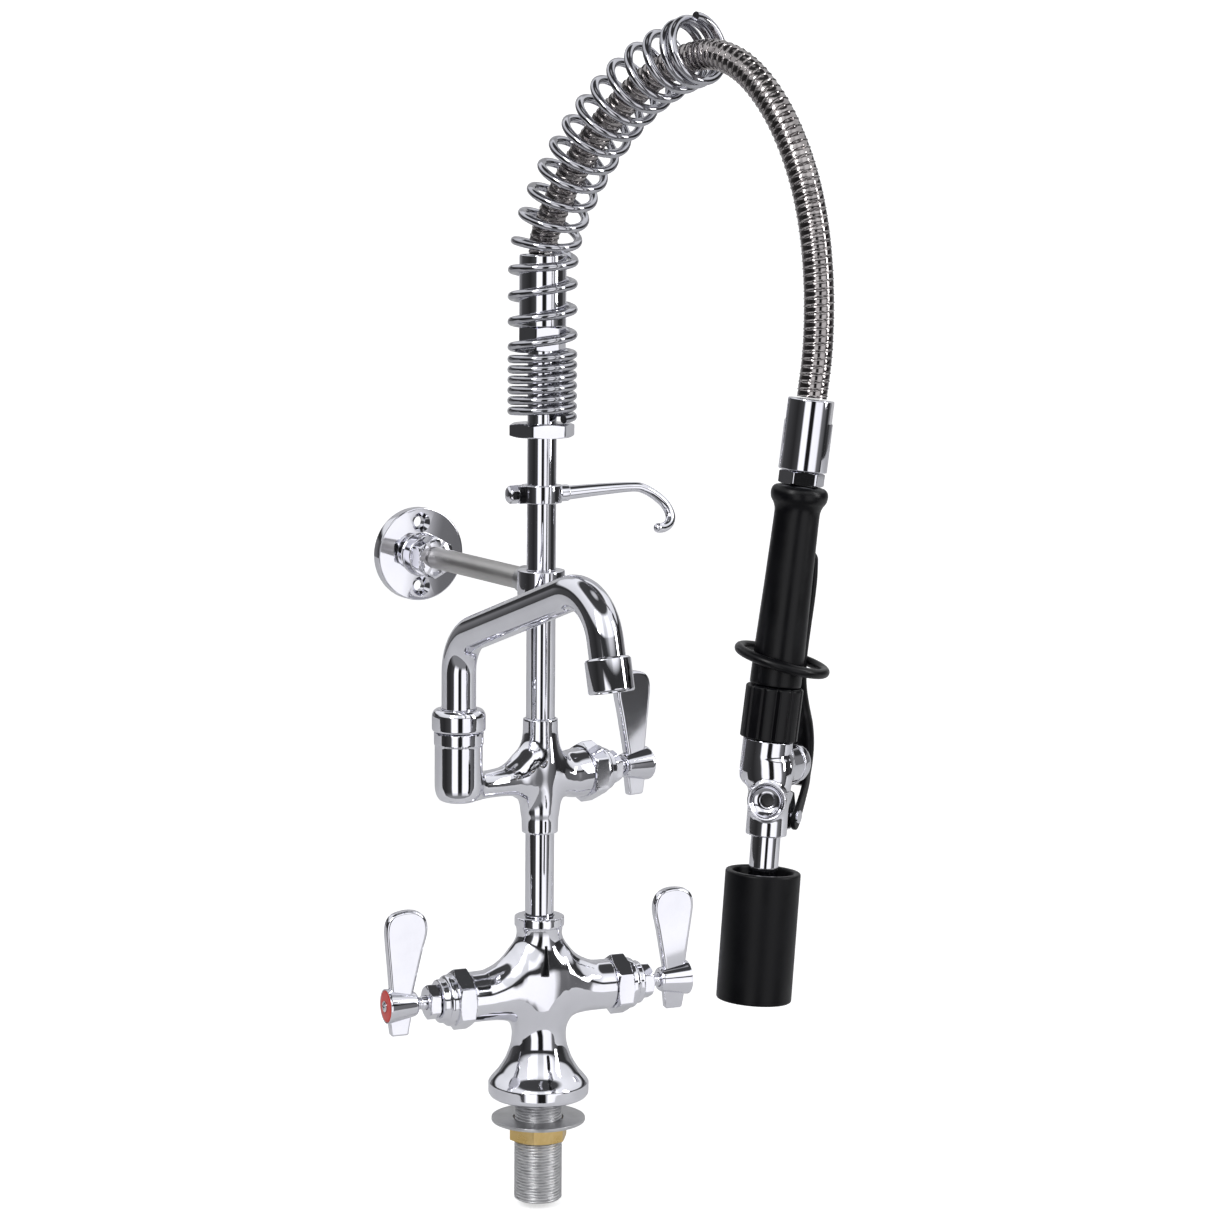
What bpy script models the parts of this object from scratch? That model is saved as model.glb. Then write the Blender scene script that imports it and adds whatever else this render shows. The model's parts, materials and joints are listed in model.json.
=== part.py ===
"""Deck-mounted pre-rinse faucet: mixing base, riser, add-on spout faucet and sprung overhead spray.

Frame: origin at the centre of the deck hole on the base's underside, +Z up, -Y towards the user,
hot lever at -X, wall bracket at +Y. Sizes below are in millimetres; meshes are built in metres.
"""
import math

import bmesh
import bpy
from mathutils import Matrix, Vector

MM = 0.001
GAP = 0.3  # clearance between neighbouring solids
ROUND = 18  # facets round a turned piece
FINE = 12  # facets round a small turned piece or a bent tube

# Deck base
DECK_BASE_R = 30.0
AXIS_Z = 63.5  # height of the hot and cold valve axis
COLLAR_TOP = 110.0
ARM_END = 45.0  # distance of the valve seats from the riser axis
ARM_STATIONS = (  # base arm: distance from the riser axis, underside, top, half depth
    (45, 49.2, 79.0, 14.9), (36, 49.2, 79.2, 14.9), (29, 49.0, 81.5, 15.0), (23, 48.2, 85.2, 15.6),
    (19, 46.5, 89.2, 16.2), (15.5, 43.0, 93.5, 16.8), (12, 39.0, 96.5, 17.4), (6, 36.0, 98.0, 18.0))
LEVER_LEAN = 4.0  # degrees the closed levers lean towards the user
SHANK_R, SHANK_BORE, SHANK_LENGTH = 14.3, 10.5, 63.0
WASHER_R, WASHER_TOP, WASHER_THICK = 28.0, -12.9, 2.0
LOCK_NUT_APOTHEM, LOCK_NUT_THICK = 16.0, 11.0

# Riser column
PIPE_R, PIPE_BORE = 8.55, 6.3
SOCKET_R = PIPE_R + GAP
ADDON_Z = 192.6  # height of the add-on faucet's horizontal axis
ADDON_TURN = 16.5  # degrees the add-on faucet is screwed round from the base
ADDON_BOTTOM, ADDON_TOP = 160.0, 228.6
ADDON_ARM_END = 30.0
SPOUT_ARM = (  # arm to the spout swivel: distance out, underside, top (both from the axis), half depth
    (-56, -7.4, 10.5, 9.0), (-50, -7.4, 9.4, 8.6), (-40, -7.4, 8.8, 8.4), (-30, -7.6, 9.4, 8.8),
    (-22, -8.4, 12.4, 9.8), (-15.5, -11.5, 17.5, 11.2), (-9, -16, 22, 12.2), (0, -18, 24, 12.8))
VALVE_ARM = (
    (ADDON_ARM_END, -15, 15, 15), (22, -14.2, 14.2, 14.2), (17, -13.2, 13.4, 13.4), (13, -14.0, 16, 13),
    (9, -16, 20, 12.8), (0, -18, 24, 12.8))
SWIVEL_X = -60.4  # spout swivel in the add-on faucet's own frame
SWIVEL_R = 13.9
BOSS_TOP = 226.8
SWIVEL_NUT_R, SWIVEL_NUT_HEIGHT = 15.6, 12.9
RISER_TOP = 455.0

# Swing spout, in its own plane: reach from the swivel, height above the deck
SPOUT_TURN = -80.5  # direction of the spout about +Z, degrees from +X
SPOUT_R, SPOUT_BORE_R = 10.0, 8.6
SPOUT_CORNERS = ((0.0, 205.0), (0.0, 280.4), (146.6, 330.0), (159.6, 277.8))
SPOUT_BENDS = (27.0, 29.0)
AERATOR_R = 12.6

# Wall bracket and hook
BRACKET_Z = 308.2
BRACKET_TURN = 6.0  # degrees the bracket is swung round the riser from straight back
BRACKET_REACH = 166.3  # riser axis to the wall
FLANGE_R, FLANGE_THICK = 29.2, 8.0
FLANGE_HOLE_SPACING, FLANGE_HOLE_R, FLANGE_SINK_R = 40.2, 3.5, 6.1
BRACKET_ARM_R = 6.75
HOOK_Z = 360.8
HOOK_ROUTE = ((17.5, 0, 360.8), (38, 0, 362.2), (58, 0, 362.9), (65, -0.4, 361.6), (72, -1.2, 357.6),
              (77.8, -2.6, 352.2), (80.4, -4.6, 345.8), (78.4, -7.0, 341.2), (73.4, -9.2, 339.1),
              (67.6, -11.2, 339.6))

# Overhead spring and hose, in the arch plane: outward from the riser, sideways, height
ARCH_TURN = -68.5  # direction of the arch about +Z, degrees from +X
SPRING_SEAT_Z = 394.0
SPRING_R, SPRING_WIRE_R = 17.85, 2.5
SPRING_ROUTE = ((0, 405.2), (0, 440), (0, 470), (0.2, 492), (3, 508), (10.5, 525), (21.5, 543), (38, 563.5),
                (58, 582.5), (80, 598), (103, 608.5), (124.5, 615))
CLOSE_COILS, CLOSE_PITCH, OPEN_COILS, END_COILS = 6.5, 6.0, 15.0, 2.0
HOSE_R = 8.6
HOSE_START_Z = 500.1
HOSE_ROUTE = ((0, 0, 501.6), (0.6, 0, 508), (4.5, 0, 517), (11.5, 0, 529), (22.5, 0, 545), (38.5, 0, 563.5),
              (58, 0, 581), (80, 0, 595.8), (104, 0, 606.3), (128, 0.2, 611.3), (146, 0.5, 608), (162,
              1.0, 598.5),
              (177, 1.6, 583), (189, 2.2, 564.5), (198.5, 2.8, 543), (204.8, 3.2, 520), (208.3, 3.4, 496),
              (209.6, 3.2, 472), (209.4, 2.4, 450), (208.2, 0.2, 428.4))
HOSE_POINTS = 34

# Spray valve, hanging along its own -Z from the hose end, +X towards the squeeze lever
TOOL_TOP = (76.4, -193.6, 428.0)
TOOL_AXIS = (0.1204, -0.0056, 0.9927)
OUTLET_AXIS = (0.0740, 0.0146, 0.9971)  # the outlet leans a little less than the handle
OUTLET_SHIFT = 5.6  # and sits this far beside the handle's axis at the bottom of the valve body
LEVER_SIDE = (0.743, 0.669, 0.0)
FERRULE_R, FERRULE_LENGTH = 13.15, 39.0
BODY_BOTTOM = 237.0
PLUNGER_Z = -200.0
RECESS_Z, RECESS_TURN = -217.0, 16.0
PIVOT = (26.0, -229.0)  # lever pin: out from the valve axis, down from the hose end
LEVER_WIDTH, LEVER_THICK = 15.0, 4.5
LEVER_LINE = ((39.4, -213.4), (41.8, -206), (43.4, -198), (42.8, -189), (38.8, -179), (31, -168),
    (24.4, -156),
              (22.0, -142), (24.2, -126), (27.2, -110), (28.4, -98), (27.4, -88), (25.6, -81))
RING_DROP, RING_R, RING_WIRE_R, RING_OFFSET, RING_TILT = 142.0, 23.95, 2.75, 5.6, 10.0
OUTLET_TUBE_R, OUTLET_TUBE_END = 8.0, 264.0
BUMPER_R, BUMPER_BORE, BUMPER_TOP, TOOL_LENGTH = 20.5, 16.5, 256.6, 327.6

COLOURS = {  # base colour, roughness, metallic
    "chrome": ((0.83, 0.83, 0.85), 0.05, 1.0),
    "satin_steel": ((0.55, 0.55, 0.56), 0.35, 1.0),
    "hose_steel": ((0.35, 0.34, 0.34), 0.2, 1.0),
    "brass": ((0.78, 0.6, 0.3), 0.3, 1.0),
    "ceramic": ((0.9, 0.9, 0.88), 0.3, 0.0),
    "hot_index": ((0.6, 0.03, 0.02), 0.35, 0.0),
    "cold_index": ((0.02, 0.08, 0.45), 0.35, 0.0),
    "plain_index": ((0.6, 0.6, 0.62), 0.35, 0.0),
    "black_rubber": ((0.012, 0.012, 0.014), 0.45, 0.0),
    "black_plastic": ((0.01, 0.01, 0.012), 0.35, 0.0),
    "seal": ((0.03, 0.03, 0.03), 0.6, 0.0),
}


# ---------------------------------------------------------------- scene, materials, frames

def clear_scene():
    for thing in list(bpy.data.objects):
        bpy.data.objects.remove(thing, do_unlink=True)


def material(slot, name):
    """One Principled material for one sub-part."""
    colour, roughness, metallic = COLOURS[slot]
    made = bpy.data.materials.new(name)
    made.use_nodes = True
    shader = made.node_tree.nodes["Principled BSDF"]
    shader.inputs["Base Color"].default_value = (*colour, 1.0)
    shader.inputs["Roughness"].default_value = roughness
    shader.inputs["Metallic"].default_value = metallic
    return made


def axes_matrix(origin, x_axis, z_axis):
    """World matrix of a frame at origin (mm) with the given Z axis and its X axis near x_axis."""
    z = Vector(z_axis).normalized()
    y = z.cross(Vector(x_axis)).normalized()
    x = y.cross(z)
    matrix = Matrix((x, y, z)).transposed().to_4x4()
    matrix.translation = Vector(origin) * MM
    return matrix


def frame(name, matrix, parent=None):
    """An empty that carries the pieces built in its frame."""
    empty = bpy.data.objects.new(name, None)
    bpy.context.scene.collection.objects.link(empty)
    empty.parent = parent
    if parent:
        empty.matrix_parent_inverse = parent.matrix_world.inverted()
    empty.matrix_world = matrix
    bpy.context.view_layer.update()
    return empty


def piece(name, mesh, slot, carrier, smooth=True):
    """Link a mesh as a named piece in the carrier's frame."""
    made = bpy.data.objects.new(name, mesh)
    bpy.context.scene.collection.objects.link(made)
    made.parent = carrier
    mesh.materials.clear()
    mesh.materials.append(material(slot, name))
    if smooth:
        mesh.shade_smooth()
        mesh.set_sharp_from_angle(angle=math.radians(35))
    return made


# ---------------------------------------------------------------- shapes

def mesh_from(bm, name):
    bmesh.ops.recalc_face_normals(bm, faces=bm.faces)
    mesh = bpy.data.meshes.new(name)
    bm.to_mesh(mesh)
    bm.free()
    return mesh


def turned(name, outline, facets=ROUND, place=None):
    """A solid of revolution about Z.

    The outline is a closed chain of (radius, z) corners in millimetres. A corner (apothem, z, "hex")
    lies on a hexagon. A radius of 0 lies on the axis.
    """
    bm = bmesh.new()
    rings = []
    for corner in outline:
        radius, z = corner[0], corner[1]
        if radius == 0:
            rings.append([bm.verts.new((0, 0, z * MM))])
            continue
        ring = []
        for k in range(facets):
            angle = 2 * math.pi * k / facets
            r = radius
            if len(corner) == 3:
                r = radius / math.cos((angle % (math.pi / 3)) - math.pi / 6)
            ring.append(bm.verts.new((r * math.cos(angle) * MM, r * math.sin(angle) * MM, z * MM)))
        rings.append(ring)
    closed = len(rings[0]) > 1
    pairs = list(zip(rings, rings[1:])) + ([(rings[-1], rings[0])] if closed else [])
    for low, high in pairs:
        if len(low) == len(high) == 1:
            continue
        for k in range(facets):
            n = (k + 1) % facets
            corners = [low[k % len(low)], low[n % len(low)], high[n % len(high)], high[k % len(high)]]
            bm.faces.new(list(dict.fromkeys(corners)))
    if place:
        bmesh.ops.transform(bm, matrix=place, verts=bm.verts)
    return mesh_from(bm, name)


def slab(name, outline, low, high, bevel=0.0, place=None):
    """A flat plate: an outline in X and Y (mm) from height low to high, with bevelled long edges."""
    bm = bmesh.new()
    base = bm.faces.new([bm.verts.new((x * MM, y * MM, low * MM)) for x, y in outline])
    top = bmesh.ops.extrude_face_region(bm, geom=[base])
    lifted = [v for v in top["geom"] if isinstance(v, bmesh.types.BMVert)]
    bmesh.ops.translate(bm, vec=(0, 0, (high - low) * MM), verts=lifted)
    if bevel:
        rims = [e for e in bm.edges if abs(e.verts[0].co.z - e.verts[1].co.z) < 1e-6]
        bmesh.ops.bevel(bm, geom=rims, offset=bevel * MM, segments=1, affect="EDGES", clamp_overlap=True)
    if place:
        bmesh.ops.transform(bm, matrix=place, verts=bm.verts)
    return mesh_from(bm, name)


def lofted(name, stations, facets=ROUND):
    """A body along X through oval stations (x, low z, high z, half depth), in millimetres."""
    bm = bmesh.new()
    rings = []
    for x, low, high, depth in stations:
        middle, half = (low + high) / 2, (high - low) / 2
        turns = [2 * math.pi * (k + 0.5) / facets for k in range(facets)]
        rings.append([bm.verts.new((x * MM, depth * math.cos(t) * MM, (middle + half * math.sin(t)) * MM))
                      for t in turns])
    for ring, after in zip(rings, rings[1:]):
        for k in range(facets):
            n = (k + 1) % facets
            bm.faces.new((ring[k], ring[n], after[n], after[k]))
    bm.faces.new(rings[0])
    bm.faces.new(rings[-1])
    return mesh_from(bm, name)


def swept(name, points, section, caps=True, loop=False):
    """Sweep a section round a route.

    points are in millimetres; section(k, n) gives the section's (side, up) corners in millimetres at
    point k of n. The section turns with the route, without twisting.
    """
    bm = bmesh.new()
    route = [Vector(p) for p in points]
    count = len(route)
    rings = []
    normal = None
    for k, here in enumerate(route):
        ahead = route[(k + 1) % count] if loop else route[min(k + 1, count - 1)]
        behind = route[k - 1] if loop else route[max(k - 1, 0)]
        tangent = (ahead - behind).normalized()
        if normal is None:
            normal = tangent.orthogonal().normalized()
            if abs(tangent.y) < 0.99:
                normal = (Vector((0, 1, 0)) - tangent * tangent.y).normalized()
        normal = (normal - tangent * normal.dot(tangent)).normalized()
        up = tangent.cross(normal)
        rings.append([bm.verts.new((here + normal * a + up * b) * MM) for a, b in section(k, count)])
    sides = len(rings[0])
    last = count if loop else count - 1
    for k in range(last):
        ring, after = rings[k], rings[(k + 1) % count]
        for s in range(sides):
            bm.faces.new((ring[s], ring[(s + 1) % sides], after[(s + 1) % sides], after[s]))
    if caps and not loop:
        bm.faces.new(rings[0])
        bm.faces.new(rings[-1])
    return mesh_from(bm, name)


def circle(radius, sides=FINE):
    """A round section of constant radius, or of radius(k, n) where radius is a function."""
    def corners(k, n):
        r = radius(k, n) if callable(radius) else radius
        return [(r * math.cos(2 * math.pi * s / sides), r * math.sin(2 * math.pi * s / sides))
                for s in range(sides)]
    return corners


def rounded_route(corners, radii, steps=6):
    """Straight runs joined by arcs of the given radii, in a plane."""
    points = [Vector(corners[0])]
    for before, corner, after, radius in zip(corners, corners[1:], corners[2:], radii):
        corner = Vector(corner)
        back, on = (Vector(before) - corner).normalized(), (Vector(after) - corner).normalized()
        half = back.angle(on) / 2
        centre = corner + (back + on).normalized() * (radius / math.sin(half))
        start = corner + back * (radius / math.tan(half)) - centre
        end = corner + on * (radius / math.tan(half)) - centre
        sweep = start.angle(end)
        for k in range(steps + 1):
            t = k / steps
            part = start * math.sin((1 - t) * sweep) + end * math.sin(t * sweep)
            points.append(centre + part / math.sin(sweep))
    points.append(Vector(corners[-1]))
    return points


def smooth_route(points, count):
    """count points evenly spaced along a Catmull-Rom curve through the given points."""
    knots = [Vector(p) for p in points]
    knots = [knots[0] * 2 - knots[1]] + knots + [knots[-1] * 2 - knots[-2]]
    dense = []
    for a, b, c, d in zip(knots, knots[1:], knots[2:], knots[3:]):
        for k in range(16):
            t = k / 16
            dense.append((b * 2 + (c - a) * t + (a * 2 - b * 5 + c * 4 - d) * t * t
                          + (b * 3 - a - c * 3 + d) * t ** 3) * 0.5)
    dense.append(knots[-2])
    along = [0.0]
    for a, b in zip(dense, dense[1:]):
        along.append(along[-1] + (b - a).length)
    even, j = [], 0
    for k in range(count):
        want = along[-1] * k / (count - 1)
        while j < len(dense) - 2 and along[j + 1] < want:
            j += 1
        t = (want - along[j]) / (along[j + 1] - along[j])
        even.append(dense[j].lerp(dense[j + 1], t))
    return even


def combine(target, other, operation):
    """Join a mesh to another, or cut it away, and return the target's new mesh."""
    pair = [bpy.data.objects.new("work", mesh) for mesh in (target, other)]
    for thing in pair:
        thing.data.transform(Matrix.Scale(1 / MM, 4))
        bpy.context.scene.collection.objects.link(thing)
    step = pair[0].modifiers.new("step", "BOOLEAN")
    step.operation = operation
    step.solver = "MANIFOLD"
    step.object = pair[1]
    bpy.context.view_layer.update()
    result = bpy.data.meshes.new_from_object(pair[0].evaluated_get(bpy.context.evaluated_depsgraph_get()))
    result.name = target.name
    result.transform(Matrix.Scale(MM, 4))
    for thing in pair:
        bpy.data.objects.remove(thing, do_unlink=True)
    return result


def joined(first, *others):
    for other in others:
        first = combine(first, other, "UNION")
    return first


def cut(first, *others):
    for other in others:
        first = combine(first, other, "DIFFERENCE")
    return first


def rod(radius, low, high, facets=ROUND, place=None):
    """A plain round bar about Z, used for spigots and for drilling."""
    return turned("rod", ((0, low), (radius, low), (radius, high), (0, high)), facets, place)


def along(direction, origin=(0, 0, 0), side=(0, 0, 1)):
    """Matrix that turns a piece built about Z to lie along direction, from origin (mm)."""
    return axes_matrix(origin, side, direction)


# ---------------------------------------------------------------- deck base

def build_base(root):
    column = turned("base_body", (
        (0, 0), (27.5, 0), (DECK_BASE_R, 3), (DECK_BASE_R, 9), (24, 16.5), (19.2, 25), (16.4, 35), (16, 44),
        (17.4, 56), (17.4, 68), (14.6, 84), (13.2, 96), (14.2, 104), (14.8, 107), (14.8, COLLAR_TOP),
        (0, COLLAR_TOP)))
    stations = [(-x, *rest) for x, *rest in ARM_STATIONS] + list(reversed(ARM_STATIONS))
    body = joined(column, lofted("arms", stations))
    seats = [rod(9, 24, ARM_END + 5, place=along((side, 0, 0), (0, 0, AXIS_Z))) for side in (-1, 1)]
    inlets = [rod(4, 8, 22, FINE, Matrix.Translation((x * MM, 0, 0))) for x in (-5.2, 5.2)]
    body = cut(body, rod(SHANK_R + GAP, -5, 12), rod(SOCKET_R, 90, COLLAR_TOP + 5), *seats, *inlets)
    piece("base_body", body, "chrome", root)

    piece("mounting_shank", turned("mounting_shank", (
        (SHANK_BORE, -SHANK_LENGTH), (SHANK_R - 1, -SHANK_LENGTH), (SHANK_R, -SHANK_LENGTH + 1),
        (SHANK_R, 11.5), (SHANK_BORE, 11.5))), "satin_steel", root)
    washer_low = WASHER_TOP - WASHER_THICK
    piece("clamp_washer", turned("clamp_washer", (
        (SHANK_R + 0.7, washer_low), (WASHER_R, washer_low), (WASHER_R, WASHER_TOP),
        (SHANK_R + 0.7, WASHER_TOP))), "satin_steel", root)
    nut_top = washer_low - GAP
    piece("lock_nut", turned("lock_nut", (
        (SHANK_R + GAP, nut_top - LOCK_NUT_THICK), (LOCK_NUT_APOTHEM, nut_top - LOCK_NUT_THICK),
        (LOCK_NUT_APOTHEM, nut_top - LOCK_NUT_THICK + 1, "hex"), (LOCK_NUT_APOTHEM, nut_top - 1, "hex"),
        (LOCK_NUT_APOTHEM, nut_top), (SHANK_R + GAP, nut_top))), "brass", root, smooth=False)


# ---------------------------------------------------------------- valves

def lever_mesh(name):
    """Lever handle: flat paddle along +X, hub cone along +Z, short tail along -X; Z is 0 at the arm's end."""
    hub = turned(name, ((0, 33), (7, 33), (7.6, 36), (10.3, 50.5), (10, 51.5), (0, 51.5)), FINE)
    outline = [(2, 36.5), (2, 48.8), (38, 52.6), (46, 53.3), (52, 52.2), (55.6, 48.6), (57.2, 43.5),
               (57.4, 38), (56.2, 33), (53, 29.2), (48, 27.4), (42, 27.6), (30, 30.6)]
    paddle = slab("paddle", outline, -3.2, 3.2, 1.3, Matrix.Rotation(math.pi / 2, 4, "X"))
    tail = slab("tail", [(-2, 35.4), (-2, 50.6), (-18.5, 48.2), (-18.5, 37.4)], -2.5, 2.5, 0.8,
                Matrix.Rotation(math.pi / 2, 4, "X"))
    handle = joined(hub, paddle, tail)
    return cut(handle, rod(4 + GAP, 20, 47.3, FINE), rod(2.3, 30, 60, FINE), rod(9.5, 50, 60, FINE))


def build_valve(side, index_slot, mount, hinge):
    """Bonnet and packing nut on the casting; disc, stem, lever, index disc and screw turn together."""
    bore = 4.5
    piece(f"{side}_bonnet", turned(f"{side}_bonnet", (
        (bore, -8), (8.6, -8), (8.6, GAP), (15.4, GAP), (16, 1.2, "hex"), (16, 10, "hex"), (15, 11.3),
        (15, 14.5), (12.9, 14.5), (12.9, 19.5), (bore, 19.5)), FINE), "chrome", mount)
    piece(f"{side}_packing_nut", turned(f"{side}_packing_nut", (
        (bore, 19.8), (9.2, 19.8, "hex"), (9.2, 25.5, "hex"), (8.6, 26.5), (bore, 26.5)), FINE),
        "chrome", mount)
    piece(f"{side}_ceramic_disc", turned(f"{side}_ceramic_disc", (
        (0, -14), (8.4, -14), (8.4, -10), (0, -10)), FINE), "ceramic", hinge)
    piece(f"{side}_stem", turned(f"{side}_stem", (
        (0, -9.7), (4, -9.7), (4, 47), (2.3, 47), (2.3, 41), (0, 41)), FINE), "chrome", hinge)
    piece(f"{side}_lever", lever_mesh(f"{side}_lever"), "chrome", hinge)
    piece(f"{side}_index_disc", turned(f"{side}_index_disc", (
        (2.6, 50.3), (9.2, 50.3), (9.2, 51.6), (2.6, 51.6)), FINE), index_slot, hinge)
    piece(f"{side}_lever_screw", turned(f"{side}_lever_screw", (
        (0, 42), (1.9, 42), (1.9, 51.9), (3.3, 51.9), (3.3, 52.6), (2.2, 53.2), (0, 53.2)), FINE),
        "chrome", hinge)


def build_valves(root, addon):
    for side, sign, slot in (("hot", -1, "hot_index"), ("cold", 1, "cold_index")):
        matrix = axes_matrix((sign * ARM_END, 0, AXIS_Z), (0, 0, 1), (sign, 0, 0))
        hinge = matrix @ Matrix.Rotation(math.radians(sign * LEVER_LEAN), 4, "Z")
        build_valve(side, slot, frame(f"{side}_seat", matrix, root), frame(f"{side}_lever_axis", hinge, root))
    outward = addon.matrix_world.to_3x3() @ Vector((1, 0, 0))
    seat = addon.matrix_world.translation / MM + outward * ADDON_ARM_END
    matrix = axes_matrix(seat, (0, 0, 1), outward)
    build_valve("addon", "plain_index", frame("addon_seat", matrix, root),
                frame("addon_lever_axis", matrix, root))


# ---------------------------------------------------------------- riser column and add-on faucet

def pipe(name, low, high, root):
    piece(name, turned(name, ((PIPE_BORE, low), (PIPE_R, low), (PIPE_R, high), (PIPE_BORE, high))),
        "chrome", root)


def build_addon_body(addon):
    """Cross casting: riser sockets above and below, valve seat at +X, spout elbow at -X."""
    low, high = ADDON_BOTTOM - ADDON_Z, ADDON_TOP - ADDON_Z
    column = turned("addon_body", (
        (0, low), (10.5, low), (10.8, low + 8), (11.6, -20), (12.6, -8), (12.6, 8), (11.4, 20), (10.4, 28),
        (10.3, high), (0, high)))
    seat_arm = lofted("seat_arm", VALVE_ARM)
    spout_arm = lofted("spout_arm", SPOUT_ARM)
    boss_top = BOSS_TOP - ADDON_Z
    boss = turned("boss", (
        (0, -7.4), (7.5, -7.2), (11.5, -5.4), (13.4, -1.5), (SWIVEL_R, 3), (SWIVEL_R, 26.6), (14.4, 27),
        (14.4, boss_top), (0, boss_top)),
        place=Matrix.Translation((SWIVEL_X * MM, 0, 0)))
    body = joined(column, seat_arm, spout_arm, boss)
    body = cut(body, rod(SOCKET_R, low - 5, low + 8), rod(SOCKET_R, high - 9, high + 5),
               rod(9, 13, ADDON_ARM_END + 5, place=along((1, 0, 0))),
               rod(12.4, 12, boss_top + 5, place=Matrix.Translation((SWIVEL_X * MM, 0, 0))))
    piece("addon_body", body, "chrome", addon)


def build_spout(swivel, root_swivel):
    """Bent spout on its swivel; the nut that holds it stays on the casting."""
    top = BOSS_TOP + GAP + SWIVEL_NUT_HEIGHT
    piece("swivel_nut", turned("swivel_nut", (
        (SPOUT_R + GAP, BOSS_TOP + GAP), (SWIVEL_NUT_R - 0.6, BOSS_TOP + GAP), (SWIVEL_NUT_R, BOSS_TOP + 1),
        (SWIVEL_NUT_R, top - 2.6), (13.6, top), (SPOUT_R + GAP, top))), "chrome", root_swivel)
    line = rounded_route(SPOUT_CORNERS, SPOUT_BENDS)
    end = line[-1]
    route = [(p.x, 0, p.y) for p in line]
    down = (end - Vector(SPOUT_CORNERS[-2])).normalized()
    past = (end.x + 5 * down.x, 0, end.y + 5 * down.y)
    bore = swept("bore", [(0, 0, route[0][2] - 5), *route[1:-1], past], circle(SPOUT_BORE_R))
    piece("spout", cut(swept("spout", route, circle(SPOUT_R)), bore), "chrome", swivel)
    piece("spout_seal", turned("spout_seal", ((10.3, 212), (12.1, 212), (12.1, 215), (10.3, 215))),
        "seal", swivel)
    tip = along((down.x, 0, down.y), (end.x, 0, end.y), (0, 1, 0))
    piece("aerator_shell", turned("aerator_shell", (
        (SPOUT_R + GAP, -12.5), (11.8, -12.5), (AERATOR_R, -11.7), (AERATOR_R, 5.6), (12.2, 6.1), (11, 6.1),
        (11, 1.2), (SPOUT_R + GAP, 0.6)), place=tip), "chrome", swivel)
    piece("aerator_insert", turned("aerator_insert", (
        (0, GAP), (9.8, GAP), (9.8, 1.5), (10.7, 1.5), (10.7, 4.6), (0, 4.6)), place=tip),
        "black_plastic", swivel)


# ---------------------------------------------------------------- wall bracket and hook

def build_bracket(bracket):
    """Ring, arm, nut and flange, all built along +Y of a frame swung round the riser."""
    low, high = BRACKET_Z - 8, BRACKET_Z + 8
    at = along((0, 1, 0), (0, 0, BRACKET_Z))
    ring = turned("bracket_ring", ((0, low), (13.2, low), (14, low + 0.8), (14, high - 0.8), (13.2,
        high), (0, high)))
    ring = cut(joined(ring, rod(8.4, 8, 21, place=at)), rod(SOCKET_R, low - 5, high + 5),
               rod(BRACKET_ARM_R + GAP, 13, 30, place=at))
    piece("bracket_ring", ring, "chrome", bracket)
    flange_front = BRACKET_REACH - FLANGE_THICK
    boss_front = flange_front - 10
    nut_front = boss_front - GAP - 10.5
    piece("bracket_arm", turned("bracket_arm", (
        (0, 13.5), (BRACKET_ARM_R, 13.5), (BRACKET_ARM_R, nut_front - 1), (6, nut_front - 0.4),
        (6, flange_front - 1), (0, flange_front - 1)), place=at), "satin_steel", bracket)
    piece("bracket_nut", turned("bracket_nut", (
        (6 + GAP, nut_front), (11.6, nut_front), (11.6, nut_front + 0.8, "hex"), (11.6,
        nut_front + 9.7, "hex"),
        (11.2, nut_front + 10.5), (6 + GAP, nut_front + 10.5)), place=at), "chrome", bracket, smooth=False)
    disc = turned("wall_flange", (
        (6 + GAP, boss_front), (12.4, boss_front), (13, boss_front + 0.8), (13, flange_front),
        (FLANGE_R - 0.8, flange_front), (FLANGE_R, flange_front + 0.8), (FLANGE_R, BRACKET_REACH),
        (0, BRACKET_REACH), (0, flange_front + 1), (6 + GAP, flange_front + 1)), place=at)
    holes = []
    for side in (-1, 1):
        hole_at = along((0, 1, 0), (0, 0, BRACKET_Z + side * FLANGE_HOLE_SPACING / 2))
        holes.append(turned("hole", (
            (0, flange_front - 2), (FLANGE_SINK_R, flange_front - 2), (FLANGE_SINK_R, flange_front),
            (FLANGE_HOLE_R, flange_front + 3), (FLANGE_HOLE_R, BRACKET_REACH + 2), (0, BRACKET_REACH + 2)),
            FINE, hole_at))
    piece("wall_flange", cut(disc, *holes), "chrome", bracket)


def build_hook(root):
    low, high = HOOK_Z - 5.2, HOOK_Z + 5.2
    band = turned("hook_clamp", ((0, low), (11.6, low), (12, low + 0.4), (12, high - 0.4), (11.6,
        high), (0, high)))
    ear = slab("ear", ((-13.6, -4.6), (0, -4.6), (0, 4.6), (-13.6, 4.6)), low, high, 0.6)
    boss = rod(4.9, 8, 17, FINE, along((1, 0, 0), (0, 0, HOOK_Z)))
    clamp = cut(joined(band, ear, boss), rod(SOCKET_R, low - 5, high + 5),
                rod(2.7, 9.5, 20, FINE, along((-1, 0, 0), (0, 0, HOOK_Z))))
    piece("hook_clamp", clamp, "chrome", root)
    taper = circle(lambda k, n: 4.2 - 1.3 * min(1.0, 2.2 * k / (n - 1)), FINE)
    route = smooth_route(HOOK_ROUTE, 22)
    piece("hook_rod", swept("hook_rod", route, taper), "chrome", root)
    screw = along((-1, 0, 0), (0, 0, HOOK_Z))
    piece("hook_screw", turned("hook_screw", (
        (0, 9.8), (2.4, 9.8), (2.4, 15.4), (4.4, 15.4), (4.8, 16, "hex"), (4.8, 20.4, "hex"), (3.6,
        22), (0, 22.4)),
        FINE, screw), "chrome", root)


# ---------------------------------------------------------------- overhead spring and hose

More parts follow.
